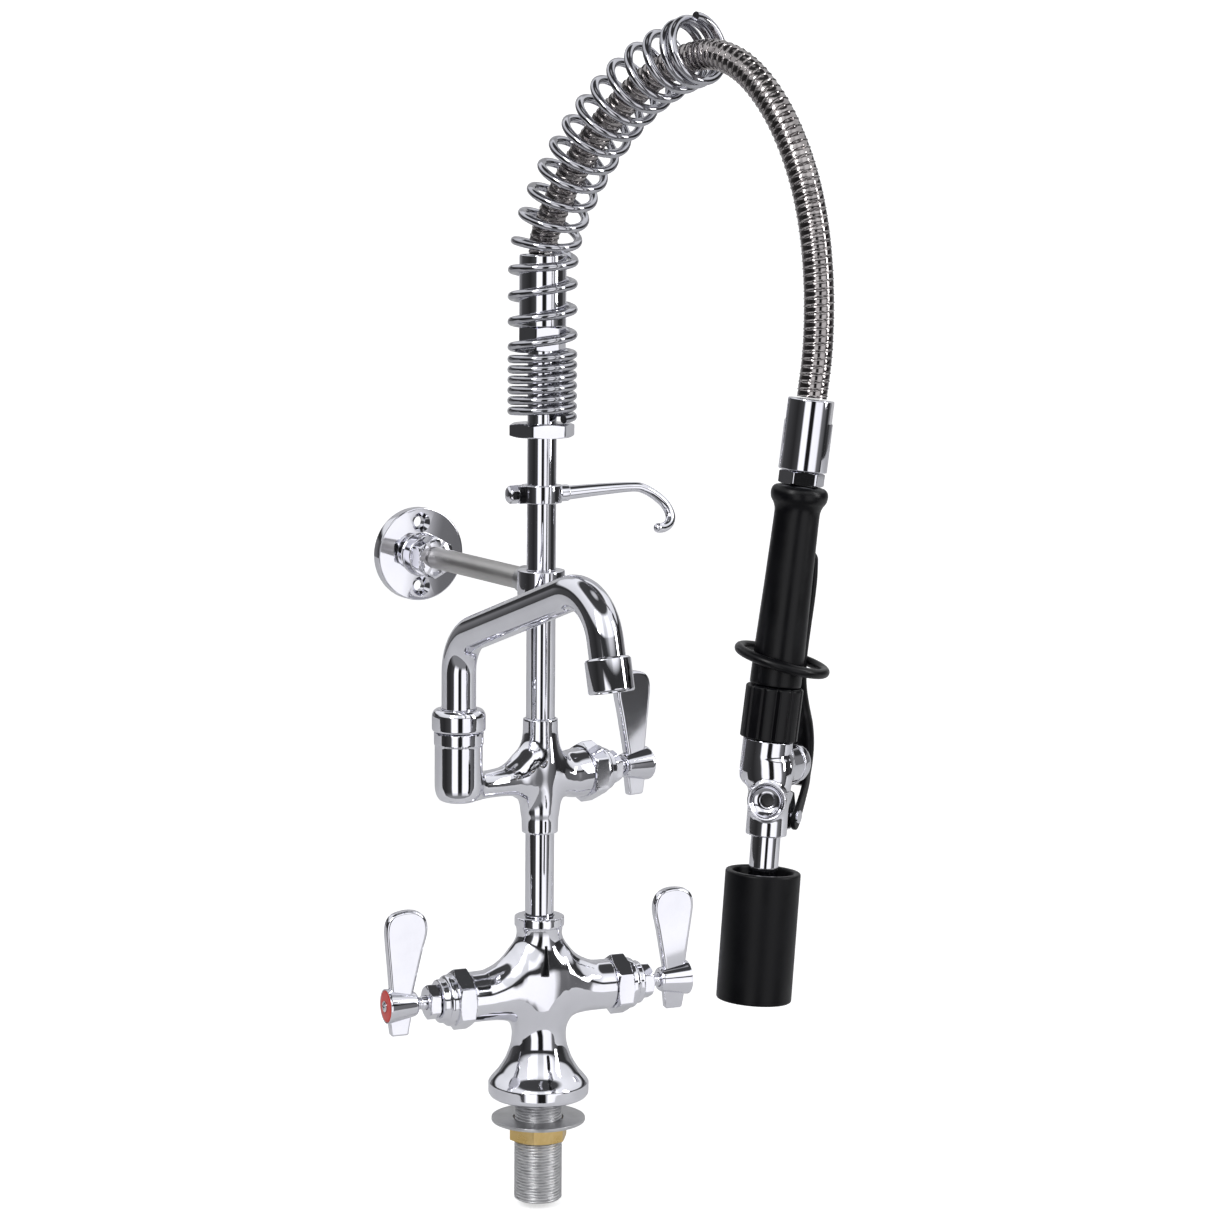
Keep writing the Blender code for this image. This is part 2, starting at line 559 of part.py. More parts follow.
def spring_points():
    """Centre line of the wire: close coils on the seat, open coils round the arch."""
    axis = smooth_route([(s, z, 0) for s, z in SPRING_ROUTE], 160)
    length = sum((b - a).length for a, b in zip(axis, axis[1:]))
    close = CLOSE_COILS * CLOSE_PITCH
    closing = END_COILS * 6.5
    open_pitch = (length - close - closing) / OPEN_COILS
    turns = CLOSE_COILS + OPEN_COILS + END_COILS
    per_turn = 9
    count = int(turns * per_turn) + 1
    points = []
    for k in range(count):
        turn = turns * k / (count - 1)
        far = min(turn, CLOSE_COILS) * CLOSE_PITCH
        far += min(max(turn - CLOSE_COILS, 0), OPEN_COILS) * open_pitch
        far += max(turn - CLOSE_COILS - OPEN_COILS, 0) * 6.5
        place = far / length * (len(axis) - 1)
        n = min(int(place), len(axis) - 2)
        here = axis[n].lerp(axis[n + 1], place - n)
        tangent = (axis[n + 1] - axis[n]).normalized()
        out = Vector((tangent.y, -tangent.x, 0))
        angle = 2 * math.pi * turn
        here = here + out * SPRING_R * math.cos(angle)
        points.append((here.x, SPRING_R * math.sin(angle), here.y))
    return points


def build_arch(arch):
    """Everything that swings round the riser with the hose: seat nut, hose nut, sleeve, spring, hose."""
    piece("spring_seat_nut", turned("spring_seat_nut", (
        (PIPE_R + 0.5, SPRING_SEAT_Z), (16.4, SPRING_SEAT_Z), (17, SPRING_SEAT_Z + 0.8, "hex"),
        (17, SPRING_SEAT_Z + 7.2, "hex"), (16.4, SPRING_SEAT_Z + 8), (PIPE_R + 0.5, SPRING_SEAT_Z + 8))),
        "chrome", arch, smooth=False)
    piece("hose_nut", turned("hose_nut", (
        (PIPE_R + 0.5, 444), (12.2, 444), (12.2, 444.8, "hex"), (12.2, 457.2, "hex"), (12.2, 458), (0, 458),
        (0, 456), (PIPE_R + 0.5, 456)), FINE), "chrome", arch)
    piece("hose_sleeve", turned("hose_sleeve", (
        (0, 458.3), (13, 458.3), (13.7, 459), (13.7, 499), (13.2, 499.7), (0, 499.7))), "chrome", arch)
    piece("overhead_spring", swept("overhead_spring", spring_points(), circle(SPRING_WIRE_R, 4)),
        "chrome", arch)

    line = bpy.data.curves.new("hose", "CURVE")
    line.dimensions = "3D"
    line.bevel_depth = HOSE_R * MM
    line.bevel_resolution = 2
    line.use_fill_caps = True
    run = line.splines.new("POLY")
    points = [Vector((0, 0, HOSE_START_Z))] + smooth_route(HOSE_ROUTE, HOSE_POINTS)
    run.points.add(len(points) - 1)
    for knot, point in zip(run.points, points):
        knot.co = (*(point * MM), 1.0)
    line.materials.append(material("hose_steel", "hose"))
    hose = bpy.data.objects.new("hose", line)
    bpy.context.scene.collection.objects.link(hose)
    hose.parent = arch


# ---------------------------------------------------------------- spray valve

def build_handle(tool):
    """Hose end, adapter, grip and collar on the handle's axis."""
    ferrule = turned("hose_end_ferrule", (
        (0, -FERRULE_LENGTH), (12.4, -FERRULE_LENGTH), (FERRULE_R, -FERRULE_LENGTH + 0.8), (FERRULE_R, -0.8),
        (12.6, -GAP), (0, -GAP)))
    flats = [slab("flat", ((11.6, -12), (20, -12), (20, 12), (11.6, 12)), -12.5, 2,
                  place=Matrix.Rotation(math.radians(turn), 4, "Z")) for turn in (100, 280)]
    piece("hose_end_ferrule", cut(ferrule, *flats), "chrome", tool)
    piece("handle_adapter", turned("handle_adapter", (
        (0, -46.7), (10.4, -46.7), (11, -46, "hex"), (11, -39.9, "hex"), (10.6, -39.3), (0, -39.3))),
        "chrome", tool)
    piece("grip", turned("grip", (
        (0, -155.7), (13.6, -155.7), (14, -155), (13.8, -140), (12.9, -100), (12.2, -60), (12.7, -57),
        (14.7, -55),
        (15.65, -51.6), (15.2, -49), (13.2, -47.3), (10, -47), (0, -47))), "black_plastic", tool)
    flutes = 12
    collar = turned("grip_collar", (
        (0, -184.7), (15.2, -184.7), (15.6, -184), (15.6, -157), (14.6, -156), (0, -156)), 2 * flutes)
    for vert in collar.vertices:
        angle = math.degrees(math.atan2(vert.co.y, vert.co.x)) / (360 / flutes)
        if abs(angle - round(angle)) < 0.1 and vert.co.length > 0:
            vert.co.x *= 0.94
            vert.co.y *= 0.94
    piece("grip_collar", collar, "black_plastic", tool)


def build_head(head, tool):
    """Valve body, outlet and bumper; the body's top sits on the handle's axis, the rest on the outlet's."""
    handle_place = head.matrix_world.inverted() @ tool.matrix_world
    top = turned("spray_body", (
        (0, -212), (10, -211), (13, -207), (13.6, -202), (13.6, -186), (12.8, -185), (0, -185)),
        place=handle_place)
    body = turned("outlet_body", (
        (0, -BODY_BOTTOM), (10.8, -BODY_BOTTOM), (11.3, -BODY_BOTTOM + 0.6), (11.1, -224), (11.3, -214),
        (12.2, -204), (11, -196), (0, -192)))
    plunger_place = along((1, 0, 0), (0, 0, PLUNGER_Z))
    bonnet_seat = rod(11.8, 0, 20.5, FINE, plunger_place)
    lug = slab("lug", ((4, -205), (19, -205), (19, -213.4), (28, -216), (31, -223), (31, -232), (26, -236.4),
                       (4, -236.6)), -4.4, 4.4, 0.0, Matrix.Rotation(math.pi / 2, 4, "X"))
    turn = math.radians(180 + RECESS_TURN)
    recess = along((math.cos(turn), math.sin(turn), 0), (0, 0, RECESS_Z))
    dish_boss = rod(10.8, 0, 12.8, FINE, recess)
    dish = turned("dish", ((0, 8.6), (6.5, 9.6), (9.6, 12.9), (9.6, 20), (0, 20)), FINE, recess)
    bleed = rod(3.7, 3, 20, FINE, recess)
    shaft = rod(3.6, 8, 22, FINE, plunger_place)
    pin_place = along((0, 1, 0), (PIVOT[0], 0, PIVOT[1]))
    body = joined(top, body, bonnet_seat, lug, dish_boss)
    piece("spray_body", cut(body, dish, bleed, shaft, rod(2.3, -12, 12, FINE, pin_place)), "chrome", head)

    piece("plunger_bonnet", turned("plunger_bonnet", (
        (3.6, 20.8), (12.4, 20.8), (12.4, 28), (11.2, 31.5), (8.4, 34.6), (5.6, 36), (3.6, 36)), FINE,
        plunger_place), "chrome", head)
    piece("outlet_tube", turned("outlet_tube", (
        (5.6, -OUTLET_TUBE_END), (OUTLET_TUBE_R, -OUTLET_TUBE_END), (OUTLET_TUBE_R, -BODY_BOTTOM - GAP),
        (5.6, -BODY_BOTTOM - GAP))), "chrome", head)
    piece("bumper", turned("bumper", (
        (14.5, -TOOL_LENGTH), (19.6, -TOOL_LENGTH), (BUMPER_R, -TOOL_LENGTH + 1), (BUMPER_R,
        -BUMPER_TOP - 1.5),
        (19, -BUMPER_TOP), (BUMPER_BORE, -BUMPER_TOP), (BUMPER_BORE - 0.5, -OUTLET_TUBE_END),
        (8.6, -OUTLET_TUBE_END - 2.5), (8.6, -OUTLET_TUBE_END - 10), (14.5, -OUTLET_TUBE_END - 13))),
        "black_rubber", head)
    piece("spray_face", turned("spray_face", (
        (0, -TOOL_LENGTH + 8), (12.5, -TOOL_LENGTH + 8), (14.2, -TOOL_LENGTH + 9.5), (14.2, -298),
        (8.3, -OUTLET_TUBE_END - 13.5), (8.3, -OUTLET_TUBE_END - GAP), (0, -OUTLET_TUBE_END - GAP))),
        "chrome", head)
    piece("lever_pin", turned("lever_pin", (
        (0, -9), (3.6, -9), (3.6, -7.8), (2, -7.8), (2, 7.8), (3.6, 7.8), (3.6, 9), (0, 9)), FINE, pin_place),
        "chrome", head)


def build_squeeze(lever_frame, plunger_frame, ring_frame):
    """Plunger, squeeze lever and hold-open ring; lever_frame sits on the pin's axis."""
    piece("plunger", turned("plunger", (
        (0, 10), (3.1, 10), (3.1, 38.8), (2.2, 39.7), (0, 39.7)), FINE, along((1, 0, 0), (0, 0, PLUNGER_Z))),
        "brass", plunger_frame)
    half, thick = LEVER_WIDTH / 2, LEVER_THICK / 2
    bar_section = ((half, -thick * 0.4), (half - 1.6, thick), (1.6 - half, thick), (-half, -thick * 0.4),
                   (-half, -thick), (half, -thick))

    def section(k, n):
        narrow = 1.0 if k < n - 1 else 0.6
        return [(a * narrow, b) for a, b in bar_section]

    lever = swept("spray_lever", smooth_route([(x, 0, z) for x, z in LEVER_LINE], 22), section)
    cheeks = [slab("cheek", ((21.8, -229), (23, -234), (26.4, -236.8), (31, -234), (41.6, -214), (42, -206.5),
                             (38.6, -208), (34.5, -215)),
                   low, low + 2.7, 0.0, Matrix.Rotation(math.pi / 2, 4, "X")) for low in (4.8, -7.5)]
    pin_hole = rod(2.3, -12, 12, FINE, along((0, 1, 0), (PIVOT[0], 0, PIVOT[1])))
    mesh = cut(joined(lever, *cheeks), pin_hole)
    mesh.transform(Matrix.Translation((-PIVOT[0] * MM, 0, -PIVOT[1] * MM)))
    piece("spray_lever", mesh, "black_plastic", lever_frame)
    ring = [(RING_R * math.cos(2 * math.pi * k / ROUND), RING_R * math.sin(2 * math.pi * k / ROUND), 0)
            for k in range(ROUND)]
    piece("hold_ring", swept("hold_ring", ring, circle(RING_WIRE_R, 8), loop=True), "black_plastic",
        ring_frame)


# ---------------------------------------------------------------- whole faucet

def build():
    clear_scene()
    root = frame("deck_frame", Matrix.Identity(4))
    addon = frame("addon_frame", Matrix.Translation((0, 0, ADDON_Z * MM))
                  @ Matrix.Rotation(math.radians(ADDON_TURN), 4, "Z"), root)
    build_base(root)
    build_valves(root, addon)
    pipe("lower_riser", 92, ADDON_BOTTOM + 6, root)
    pipe("upper_riser", ADDON_TOP - 7, RISER_TOP, root)
    build_addon_body(addon)

    swivel_at = addon.matrix_world @ Vector((SWIVEL_X * MM, 0, 0))
    swivel_at.z = 0
    turn = Matrix.Translation(swivel_at) @ Matrix.Rotation(math.radians(SPOUT_TURN), 4, "Z")
    build_spout(frame("spout_axis", turn, root), frame("swivel_nut_frame", turn, root))
    build_bracket(frame("bracket_frame", Matrix.Rotation(math.radians(BRACKET_TURN), 4, "Z"), root))
    build_hook(root)

    arch = frame("arch_axis", Matrix.Rotation(math.radians(ARCH_TURN), 4, "Z"), root)
    build_arch(arch)

    tool_matrix = axes_matrix(TOOL_TOP, LEVER_SIDE, TOOL_AXIS)
    tool = frame("tool_axis", tool_matrix, arch)
    build_handle(tool)
    joint = tool_matrix @ Vector((0, -OUTLET_SHIFT * MM, -BODY_BOTTOM * MM))
    head_top = joint / MM + Vector(OUTLET_AXIS).normalized() * BODY_BOTTOM
    head_matrix = axes_matrix(head_top, LEVER_SIDE, OUTLET_AXIS)
    head = frame("outlet_axis", head_matrix, tool)
    build_head(head, tool)
    lever_frame = frame("lever_axis", head_matrix @ Matrix.Translation((PIVOT[0] * MM, 0,
        PIVOT[1] * MM)), head)
    plunger_frame = frame("plunger_axis", head_matrix, head)
    ring_frame = frame("ring_axis", tool_matrix @ Matrix.Translation((RING_OFFSET * MM, 0, -RING_DROP * MM))
                       @ Matrix.Rotation(math.radians(RING_TILT), 4, "X"), tool)
    build_squeeze(lever_frame, plunger_frame, ring_frame)


build()
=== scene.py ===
"""The looks of the pre-rinse faucet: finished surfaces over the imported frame, studio and camera.

Lengths are in millimetres until a mesh is made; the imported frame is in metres.
"""

import json
import math

import bmesh
import bpy
import numpy as np
from mathutils import Matrix, Vector


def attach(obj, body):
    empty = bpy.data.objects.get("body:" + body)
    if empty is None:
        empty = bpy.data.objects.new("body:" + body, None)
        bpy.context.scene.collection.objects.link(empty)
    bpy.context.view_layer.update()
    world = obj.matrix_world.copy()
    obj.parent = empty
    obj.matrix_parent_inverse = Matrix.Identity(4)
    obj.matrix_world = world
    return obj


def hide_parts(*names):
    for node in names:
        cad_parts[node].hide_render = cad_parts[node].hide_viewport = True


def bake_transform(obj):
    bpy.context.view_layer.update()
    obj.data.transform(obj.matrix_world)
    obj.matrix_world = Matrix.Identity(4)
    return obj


MM = 0.001
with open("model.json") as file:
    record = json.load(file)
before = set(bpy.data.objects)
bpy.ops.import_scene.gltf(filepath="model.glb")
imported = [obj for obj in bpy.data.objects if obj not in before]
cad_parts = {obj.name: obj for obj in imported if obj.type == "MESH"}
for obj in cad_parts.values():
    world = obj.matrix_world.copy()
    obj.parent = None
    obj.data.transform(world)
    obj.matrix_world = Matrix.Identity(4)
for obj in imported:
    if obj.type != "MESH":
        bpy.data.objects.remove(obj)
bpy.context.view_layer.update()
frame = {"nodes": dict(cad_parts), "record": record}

# ---------------------------------------------------------------- where the parts are

AXIS_Z, ARM_END, LEVER_LEAN = 63.5, 45.0, 4.0
ADDON_Z, ADDON_TURN, ADDON_ARM_END = 192.6, 16.5, 30.0
SWIVEL_X, SPOUT_TURN = -60.4, -80.5
BRACKET_Z, BRACKET_TURN, BRACKET_REACH = 308.2, 6.0, 166.3
HOOK_Z = 360.8
ARCH_TURN = -68.5
TOOL_TOP, TOOL_AXIS = (76.4, -193.6, 428.0), (0.1204, -0.0056, 0.9927)
OUTLET_AXIS, OUTLET_SHIFT, BODY_BOTTOM = (0.0740, 0.0146, 0.9971), 5.6, 237.0
LEVER_SIDE = (0.743, 0.669, 0.0)
PIVOT = (26.0, -229.0)
PLUNGER_Z = -200.0
TOOL_LENGTH, BUMPER_TOP, OUTLET_TUBE_END = 327.6, 256.6, 264.0
PIPE_R = 8.55


def axes_matrix(origin, x_axis, z_axis):
    z = Vector(z_axis).normalized()
    y = z.cross(Vector(x_axis)).normalized()
    matrix = Matrix((y.cross(z), y, z)).transposed().to_4x4()
    matrix.translation = Vector(origin) * MM
    return matrix


def turn_z(degrees):
    return Matrix.Rotation(math.radians(degrees), 4, "Z")


def along(direction, origin=(0, 0, 0), side=(0, 0, 1)):
    return axes_matrix(origin, side, direction)


def shift(x, y, z):
    return Matrix.Translation((x * MM, y * MM, z * MM))


ROOT = Matrix.Identity(4)
ADDON = shift(0, 0, ADDON_Z) @ turn_z(ADDON_TURN)
SWIVEL_AT = ADDON @ Vector((SWIVEL_X * MM, 0, 0))
SPOUT = Matrix.Translation((SWIVEL_AT.x, SWIVEL_AT.y, 0)) @ turn_z(SPOUT_TURN)
BRACKET = turn_z(BRACKET_TURN)
ARCH = turn_z(ARCH_TURN)
TOOL = axes_matrix(TOOL_TOP, LEVER_SIDE, TOOL_AXIS)
JOINT = TOOL @ Vector((0, -OUTLET_SHIFT * MM, -BODY_BOTTOM * MM))
HEAD = axes_matrix(JOINT / MM + Vector(OUTLET_AXIS).normalized() * BODY_BOTTOM, LEVER_SIDE, OUTLET_AXIS)
RING = TOOL @ shift(5.6, 0, -142) @ Matrix.Rotation(math.radians(10), 4, "X")


# ---------------------------------------------------------------- materials

def node_graph(name):
    made = bpy.data.materials.new(name)
    made.use_nodes = True
    tree = made.node_tree
    shader = tree.nodes["Principled BSDF"]

    def add(kind, **settings):
        node = tree.nodes.new(kind)
        for key, value in settings.items():
            if key in node.inputs:
                node.inputs[key].default_value = value
            else:
                setattr(node, key, value)
        return node

    def link(a, b):
        tree.links.new(a, b)

    return made, shader, add, link


def ramp(add, stops):
    node = add("ShaderNodeValToRGB")
    elements = node.color_ramp.elements
    while len(elements) < len(stops):
        elements.new(0.5)
    for element, (place, colour) in zip(elements, stops):
        element.position = place
        element.color = (*colour, 1.0) if len(colour) == 3 else colour
    return node


def grey(value):
    return (value, value, value)


def surface(name, dark, light, rough, scale, metallic=0.0, bump=0.0, bump_scale=None,
            stretch=(1, 1, 1), specular=0.5):
    """A finish with cloudy tone and gloss.

    dark and light are colours, rough is (low, high) and scale is in cells per metre.
    """
    made, shader, add, link = node_graph(name)
    place = add("ShaderNodeTexCoord")
    squeeze = add("ShaderNodeMapping")
    squeeze.inputs["Scale"].default_value = stretch
    link(place.outputs["Object"], squeeze.inputs["Vector"])
    cloud = add("ShaderNodeTexNoise", Scale=scale, Detail=4.0, Roughness=0.6)
    link(squeeze.outputs["Vector"], cloud.inputs["Vector"])
    tone = ramp(add, ((0.3, dark), (0.7, light)))
    link(cloud.outputs["Fac"], tone.inputs["Fac"])
    link(tone.outputs["Color"], shader.inputs["Base Color"])
    gloss = add("ShaderNodeMapRange")
    gloss.inputs["From Min"].default_value, gloss.inputs["From Max"].default_value = 0.25, 0.75
    gloss.inputs["To Min"].default_value, gloss.inputs["To Max"].default_value = rough
    link(cloud.outputs["Fac"], gloss.inputs["Value"])
    link(gloss.outputs["Result"], shader.inputs["Roughness"])
    shader.inputs["Metallic"].default_value = metallic
    shader.inputs["Specular IOR Level"].default_value = specular
    if bump:
        grain = add("ShaderNodeTexNoise", Scale=bump_scale or scale * 6, Detail=3.0, Roughness=0.5)
        link(squeeze.outputs["Vector"], grain.inputs["Vector"])
        relief = add("ShaderNodeBump", Strength=bump, Distance=0.0002)
        link(grain.outputs["Fac"], relief.inputs["Height"])
        link(relief.outputs["Normal"], shader.inputs["Normal"])
    return made


CHROME = surface("chrome_polished", (0.72, 0.72, 0.77), (0.80, 0.80, 0.85), (0.025, 0.07), 30, 1.0)
CAST = surface("chrome_cast", (0.74, 0.74, 0.79), (0.82, 0.82, 0.87), (0.03, 0.08), 22, 1.0, 0.06, 55)
SPRING_STEEL = surface("chrome_wire", (0.42, 0.42, 0.45), (0.54, 0.54, 0.58), (0.05, 0.12), 60, 1.0, 0.05,
    400)
HOSE_STEEL = surface("hose_strip", (0.28, 0.262, 0.262), (0.42, 0.395, 0.39), (0.08, 0.16), 90, 1.0, 0.05,
    700)
SATIN = surface("steel_satin", (0.46, 0.46, 0.47), (0.62, 0.62, 0.63), (0.28, 0.42), 70, 1.0, 0.15, 500,
    (1, 1, 8))
BRUSHED = surface("steel_brushed", (0.44, 0.43, 0.43), (0.60, 0.59, 0.58), (0.34, 0.5), 120, 1.0, 0.2, 900,
    (1, 1, 0.15))
BRASS = surface("brass_machined", (0.62, 0.43, 0.16), (0.78, 0.58, 0.27), (0.24, 0.38), 80, 1.0, 0.12, 700)
RUBBER = surface("rubber_black", (0.0012, 0.0012, 0.002), (0.0025, 0.0025, 0.0038), (0.34, 0.46), 40, 0.0,
                 0.12, 1500, specular=0.22)
MOULDED = surface("plastic_black", (0.0012, 0.0012, 0.002), (0.0025, 0.0025, 0.0036), (0.26, 0.38), 45, 0.0,
                  0.10, 1200, specular=0.25)
DARK = surface("aerator_black", grey(0.015), grey(0.03), (0.4, 0.55), 200, 0.0, 0.1, 2000)
RED = surface("index_red", (0.50, 0.02, 0.012), (0.66, 0.045, 0.03), (0.26, 0.4), 160, 0.0, 0.1, 1500)
BLUE = surface("index_blue", (0.010, 0.05, 0.36), (0.02, 0.09, 0.50), (0.26, 0.4), 160, 0.0, 0.1, 1500)
PLAIN = surface("index_grey", grey(0.52), grey(0.64), (0.26, 0.4), 160, 0.0, 0.1, 1500)
CERAMIC = surface("ceramic_white", grey(0.78), grey(0.9), (0.2, 0.35), 300)
SEAL = surface("seal_black", grey(0.02), grey(0.04), (0.5, 0.65), 300, 0.0, 0.1, 2000)
SLOT_FINISH = {
    "chrome": CHROME, "satin_steel": SATIN, "hose_steel": HOSE_STEEL, "brass": BRASS, "ceramic": CERAMIC,
    "hot_index": RED, "cold_index": BLUE, "plain_index": PLAIN, "black_rubber": RUBBER,
    "black_plastic": MOULDED, "seal": SEAL}
SLOT_OF = {entry["node"]: entry["material_slot"] for entry in frame["record"]["subparts"]}
BODY_OF = {node: body for body, nodes in frame["record"]["behaviour"]["bodies"].items() for node in nodes}


# ---------------------------------------------------------------- shapes

def show(name, mesh, nodes, finish=None, place=ROOT, sharp=32, blend=None, body=None, slot=None):
    """Put a finished mesh on the frame in place of the named CAD nodes."""
    nodes = [nodes] if isinstance(nodes, str) else list(nodes)
    slot = slot or SLOT_OF[nodes[0]]
    made = bpy.data.objects.new(name, mesh)
    bpy.context.scene.collection.objects.link(made)
    mesh.materials.clear()
    mesh.materials.append(finish or SLOT_FINISH[slot])
    mesh.shade_smooth()
    mesh.set_sharp_from_angle(angle=math.radians(sharp))
    if finish is BRUSHED:  # its grain follows the piece's own axis
        made.matrix_world = place
    else:
        mesh.transform(place)
    if blend:
        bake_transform(made)
    else:
        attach(made, body or BODY_OF[nodes[0]])
    if nodes and not body:
        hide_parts(*nodes)
    return made


def mesh_of(bm, name="finish"):
    bmesh.ops.recalc_face_normals(bm, faces=bm.faces)
    mesh = bpy.data.meshes.new(name)
    bm.to_mesh(mesh)
    bm.free()
    return mesh


def softened(outline, radius, steps=4):
    """The closed outline with its corners rounded; a corner's third value is its own radius."""
    points = []
    count = len(outline)
    for k, corner in enumerate(outline):
        here = Vector(corner[:2])
        before, after = Vector(outline[k - 1][:2]), Vector(outline[(k + 1) % count][:2])
        size = corner[2] if len(corner) > 2 else radius
        on_axis = here.x == 0
        if on_axis or size <= 0:
            points.append((here.x, here.y))
            continue
        a = here + (before - here).normalized() * min(size, 0.45 * (before - here).length)
        b = here + (after - here).normalized() * min(size, 0.45 * (after - here).length)
        for s in range(steps + 1):
            t = s / steps
            p = a * (1 - t) ** 2 + here * (2 * t * (1 - t)) + b * t * t
            points.append((p.x, p.y))
    return points


def lathe(outline, soft=0.4, facets=96, shape=None):
    """A turned solid from a closed (radius, z) outline; shape(angle, radius, z) may change a radius."""
    rings = []
    bm = bmesh.new()
    for radius, z in softened(outline, soft):
        if radius <= 1e-6:
            rings.append([bm.verts.new((0, 0, z * MM))])
            continue
        ring = []
        for k in range(facets):
            angle = 2 * math.pi * k / facets
            r = shape(angle, radius, z) if shape else radius
            ring.append(bm.verts.new((r * math.cos(angle) * MM, r * math.sin(angle) * MM, z * MM)))
        rings.append(ring)
    for low, high in list(zip(rings, rings[1:])) + [(rings[-1], rings[0])]:
        if len(low) == len(high) == 1:
            continue
        for k in range(facets):
            n = (k + 1) % facets
            corners = [low[k % len(low)], low[n % len(low)], high[n % len(high)], high[k % len(high)]]
            bm.faces.new(list(dict.fromkeys(corners)))
    return mesh_of(bm)


def hexagon(apothem, edge=0.5):
    """Shape for lathe: keep inside a hexagon with slightly rounded corners."""
    def shape(angle, radius, z):
        flat = apothem / math.cos((angle % (math.pi / 3)) - math.pi / 6)
        corner = apothem / math.cos(math.pi / 6) - edge * 0.3
        flat = min(flat, corner)
        return min(radius, flat)
    return shape


def nut(bore, apothem, low, high, chamfer=1.4, steps=6, facets=144):
    """A hexagon nut, chamfered at both ends."""
    corner = apothem / math.cos(math.pi / 6)
    inner = apothem * 0.985
    outline = [(bore, low)]
    outline += [(inner + (corner - inner) * k / steps, low + chamfer * k / steps)
                for k in range(steps + 1)]
    outline += [(corner - (corner - inner) * k / steps, high - chamfer + chamfer * k / steps)
                for k in range(steps + 1)]
    outline += [(bore, high)]
    return lathe([(r, z, 0) for r, z in outline], 0, facets, hexagon(apothem))


def slab(outline, low, high, soft, steps=5):
    """A plate in X and Y from height low to high, its long edges rounded to the radius soft."""
    chain = np.array(outline, float)
    if np.sum(chain[:, 0] * np.roll(chain[:, 1], -1) - chain[:, 1] * np.roll(chain[:, 0], -1)) < 0:
        chain = chain[::-1]
    step = np.roll(chain, -1, axis=0) - chain
    step /= np.linalg.norm(step, axis=1)[:, None]
    out = np.stack([step[:, 1], -step[:, 0]], axis=1)
    corner = out + np.roll(out, 1, axis=0)
    corner /= np.maximum((corner * out).sum(axis=1), 0.5)[:, None]
    arc = [math.pi / 2 * k / steps for k in range(steps + 1)]
    levels = [(soft + 0.3, low), *((soft * (1 - math.sin(t)), low + soft * (1 - math.cos(t))) for t in arc)]
    levels += [(d, high + low - z) for d, z in reversed(levels)]
    bm = bmesh.new()
    rings = [[bm.verts.new((x * MM, y * MM, z * MM)) for x, y in chain - corner * d] for d, z in levels]
    for ring, after in zip(rings, rings[1:]):
        for k in range(len(ring)):
            n = (k + 1) % len(ring)
            bm.faces.new((ring[k], ring[n], after[n], after[k]))
    bm.faces.new(rings[0])
    bm.faces.new(rings[-1])
    return mesh_of(bm)


def smooth_route(points, count):
    """count points evenly along a Catmull-Rom curve."""
    knots = np.array([[*p, 0.0][:3] for p in points], float)
    knots = np.vstack([2 * knots[0] - knots[1], knots, 2 * knots[-1] - knots[-2]])
    dense = []
    for a, b, c, d in zip(knots, knots[1:], knots[2:], knots[3:]):
        for t in np.linspace(0, 1, 24, endpoint=False):
            dense.append(0.5 * (2 * b + (c - a) * t + (2 * a - 5 * b + 4 * c - d) * t * t
                                + (3 * b - a - 3 * c + d) * t ** 3))
    dense = np.array(dense + [knots[-2]])
    far = np.concatenate([[0], np.cumsum(np.linalg.norm(np.diff(dense, axis=0), axis=1))])
    want = np.linspace(0, far[-1], count)
    return np.stack([np.interp(want, far, dense[:, i]) for i in range(3)], axis=1)


def sweep(points, section, loop=False):
    """Sweep section(k, n), a list of (side, up) corners, along points, without twist."""
    route = [Vector(p) for p in points]
    count = len(route)
    bm = bmesh.new()
    rings, normal = [], None
    for k, here in enumerate(route):
        ahead = route[(k + 1) % count] if loop else route[min(k + 1, count - 1)]
        behind = route[k - 1] if loop or k else route[0]
        tangent = (ahead - behind).normalized()
        if normal is None:
            normal = Vector((0, 1, 0)) if abs(tangent.y) < 0.9 else Vector((0, 0, 1))
        normal = (normal - tangent * normal.dot(tangent)).normalized()
        up = tangent.cross(normal)
        rings.append([bm.verts.new((here + normal * a + up * b) * MM) for a, b in section(k, count)])
    sides = len(rings[0])
    for k in range(count if loop else count - 1):
        ring, after = rings[k], rings[(k + 1) % count]
        for s in range(sides):
            bm.faces.new((ring[s], ring[(s + 1) % sides], after[(s + 1) % sides], after[s]))
    if not loop:
        bm.faces.new(rings[0])
        bm.faces.new(rings[-1])
    return mesh_of(bm)


def round_section(radius, sides=32):
    def corners(k, n):
        r = radius(k, n) if callable(radius) else radius
        return [(r * math.cos(2 * math.pi * s / sides), r * math.sin(2 * math.pi * s / sides))
                for s in range(sides)]
    return corners


def cut(mesh, *tools):
    """Cut tools away from a mesh."""
    target = bpy.data.objects.new("work", mesh)
    mesh.transform(Matrix.Scale(1 / MM, 4))
    bpy.context.scene.collection.objects.link(target)
    for tool in tools:
        tool.transform(Matrix.Scale(1 / MM, 4))
        other = bpy.data.objects.new("work", tool)
        bpy.context.scene.collection.objects.link(other)
        step = target.modifiers.new("cut", "BOOLEAN")
        step.operation, step.solver, step.object = "DIFFERENCE", "MANIFOLD", other
        bpy.context.view_layer.update()
        result = bpy.data.meshes.new_from_object(target.evaluated_get(bpy.context.evaluated_depsgraph_get()))
        target.modifiers.clear()
        target.data = result
        bpy.data.objects.remove(other)
    result = target.data
    bpy.data.objects.remove(target)
    result.transform(Matrix.Scale(MM, 4))
    return result


def placed(mesh, matrix):
    mesh.transform(matrix)
    return mesh


# ---------------------------------------------------------------- cast shapes from distance fields

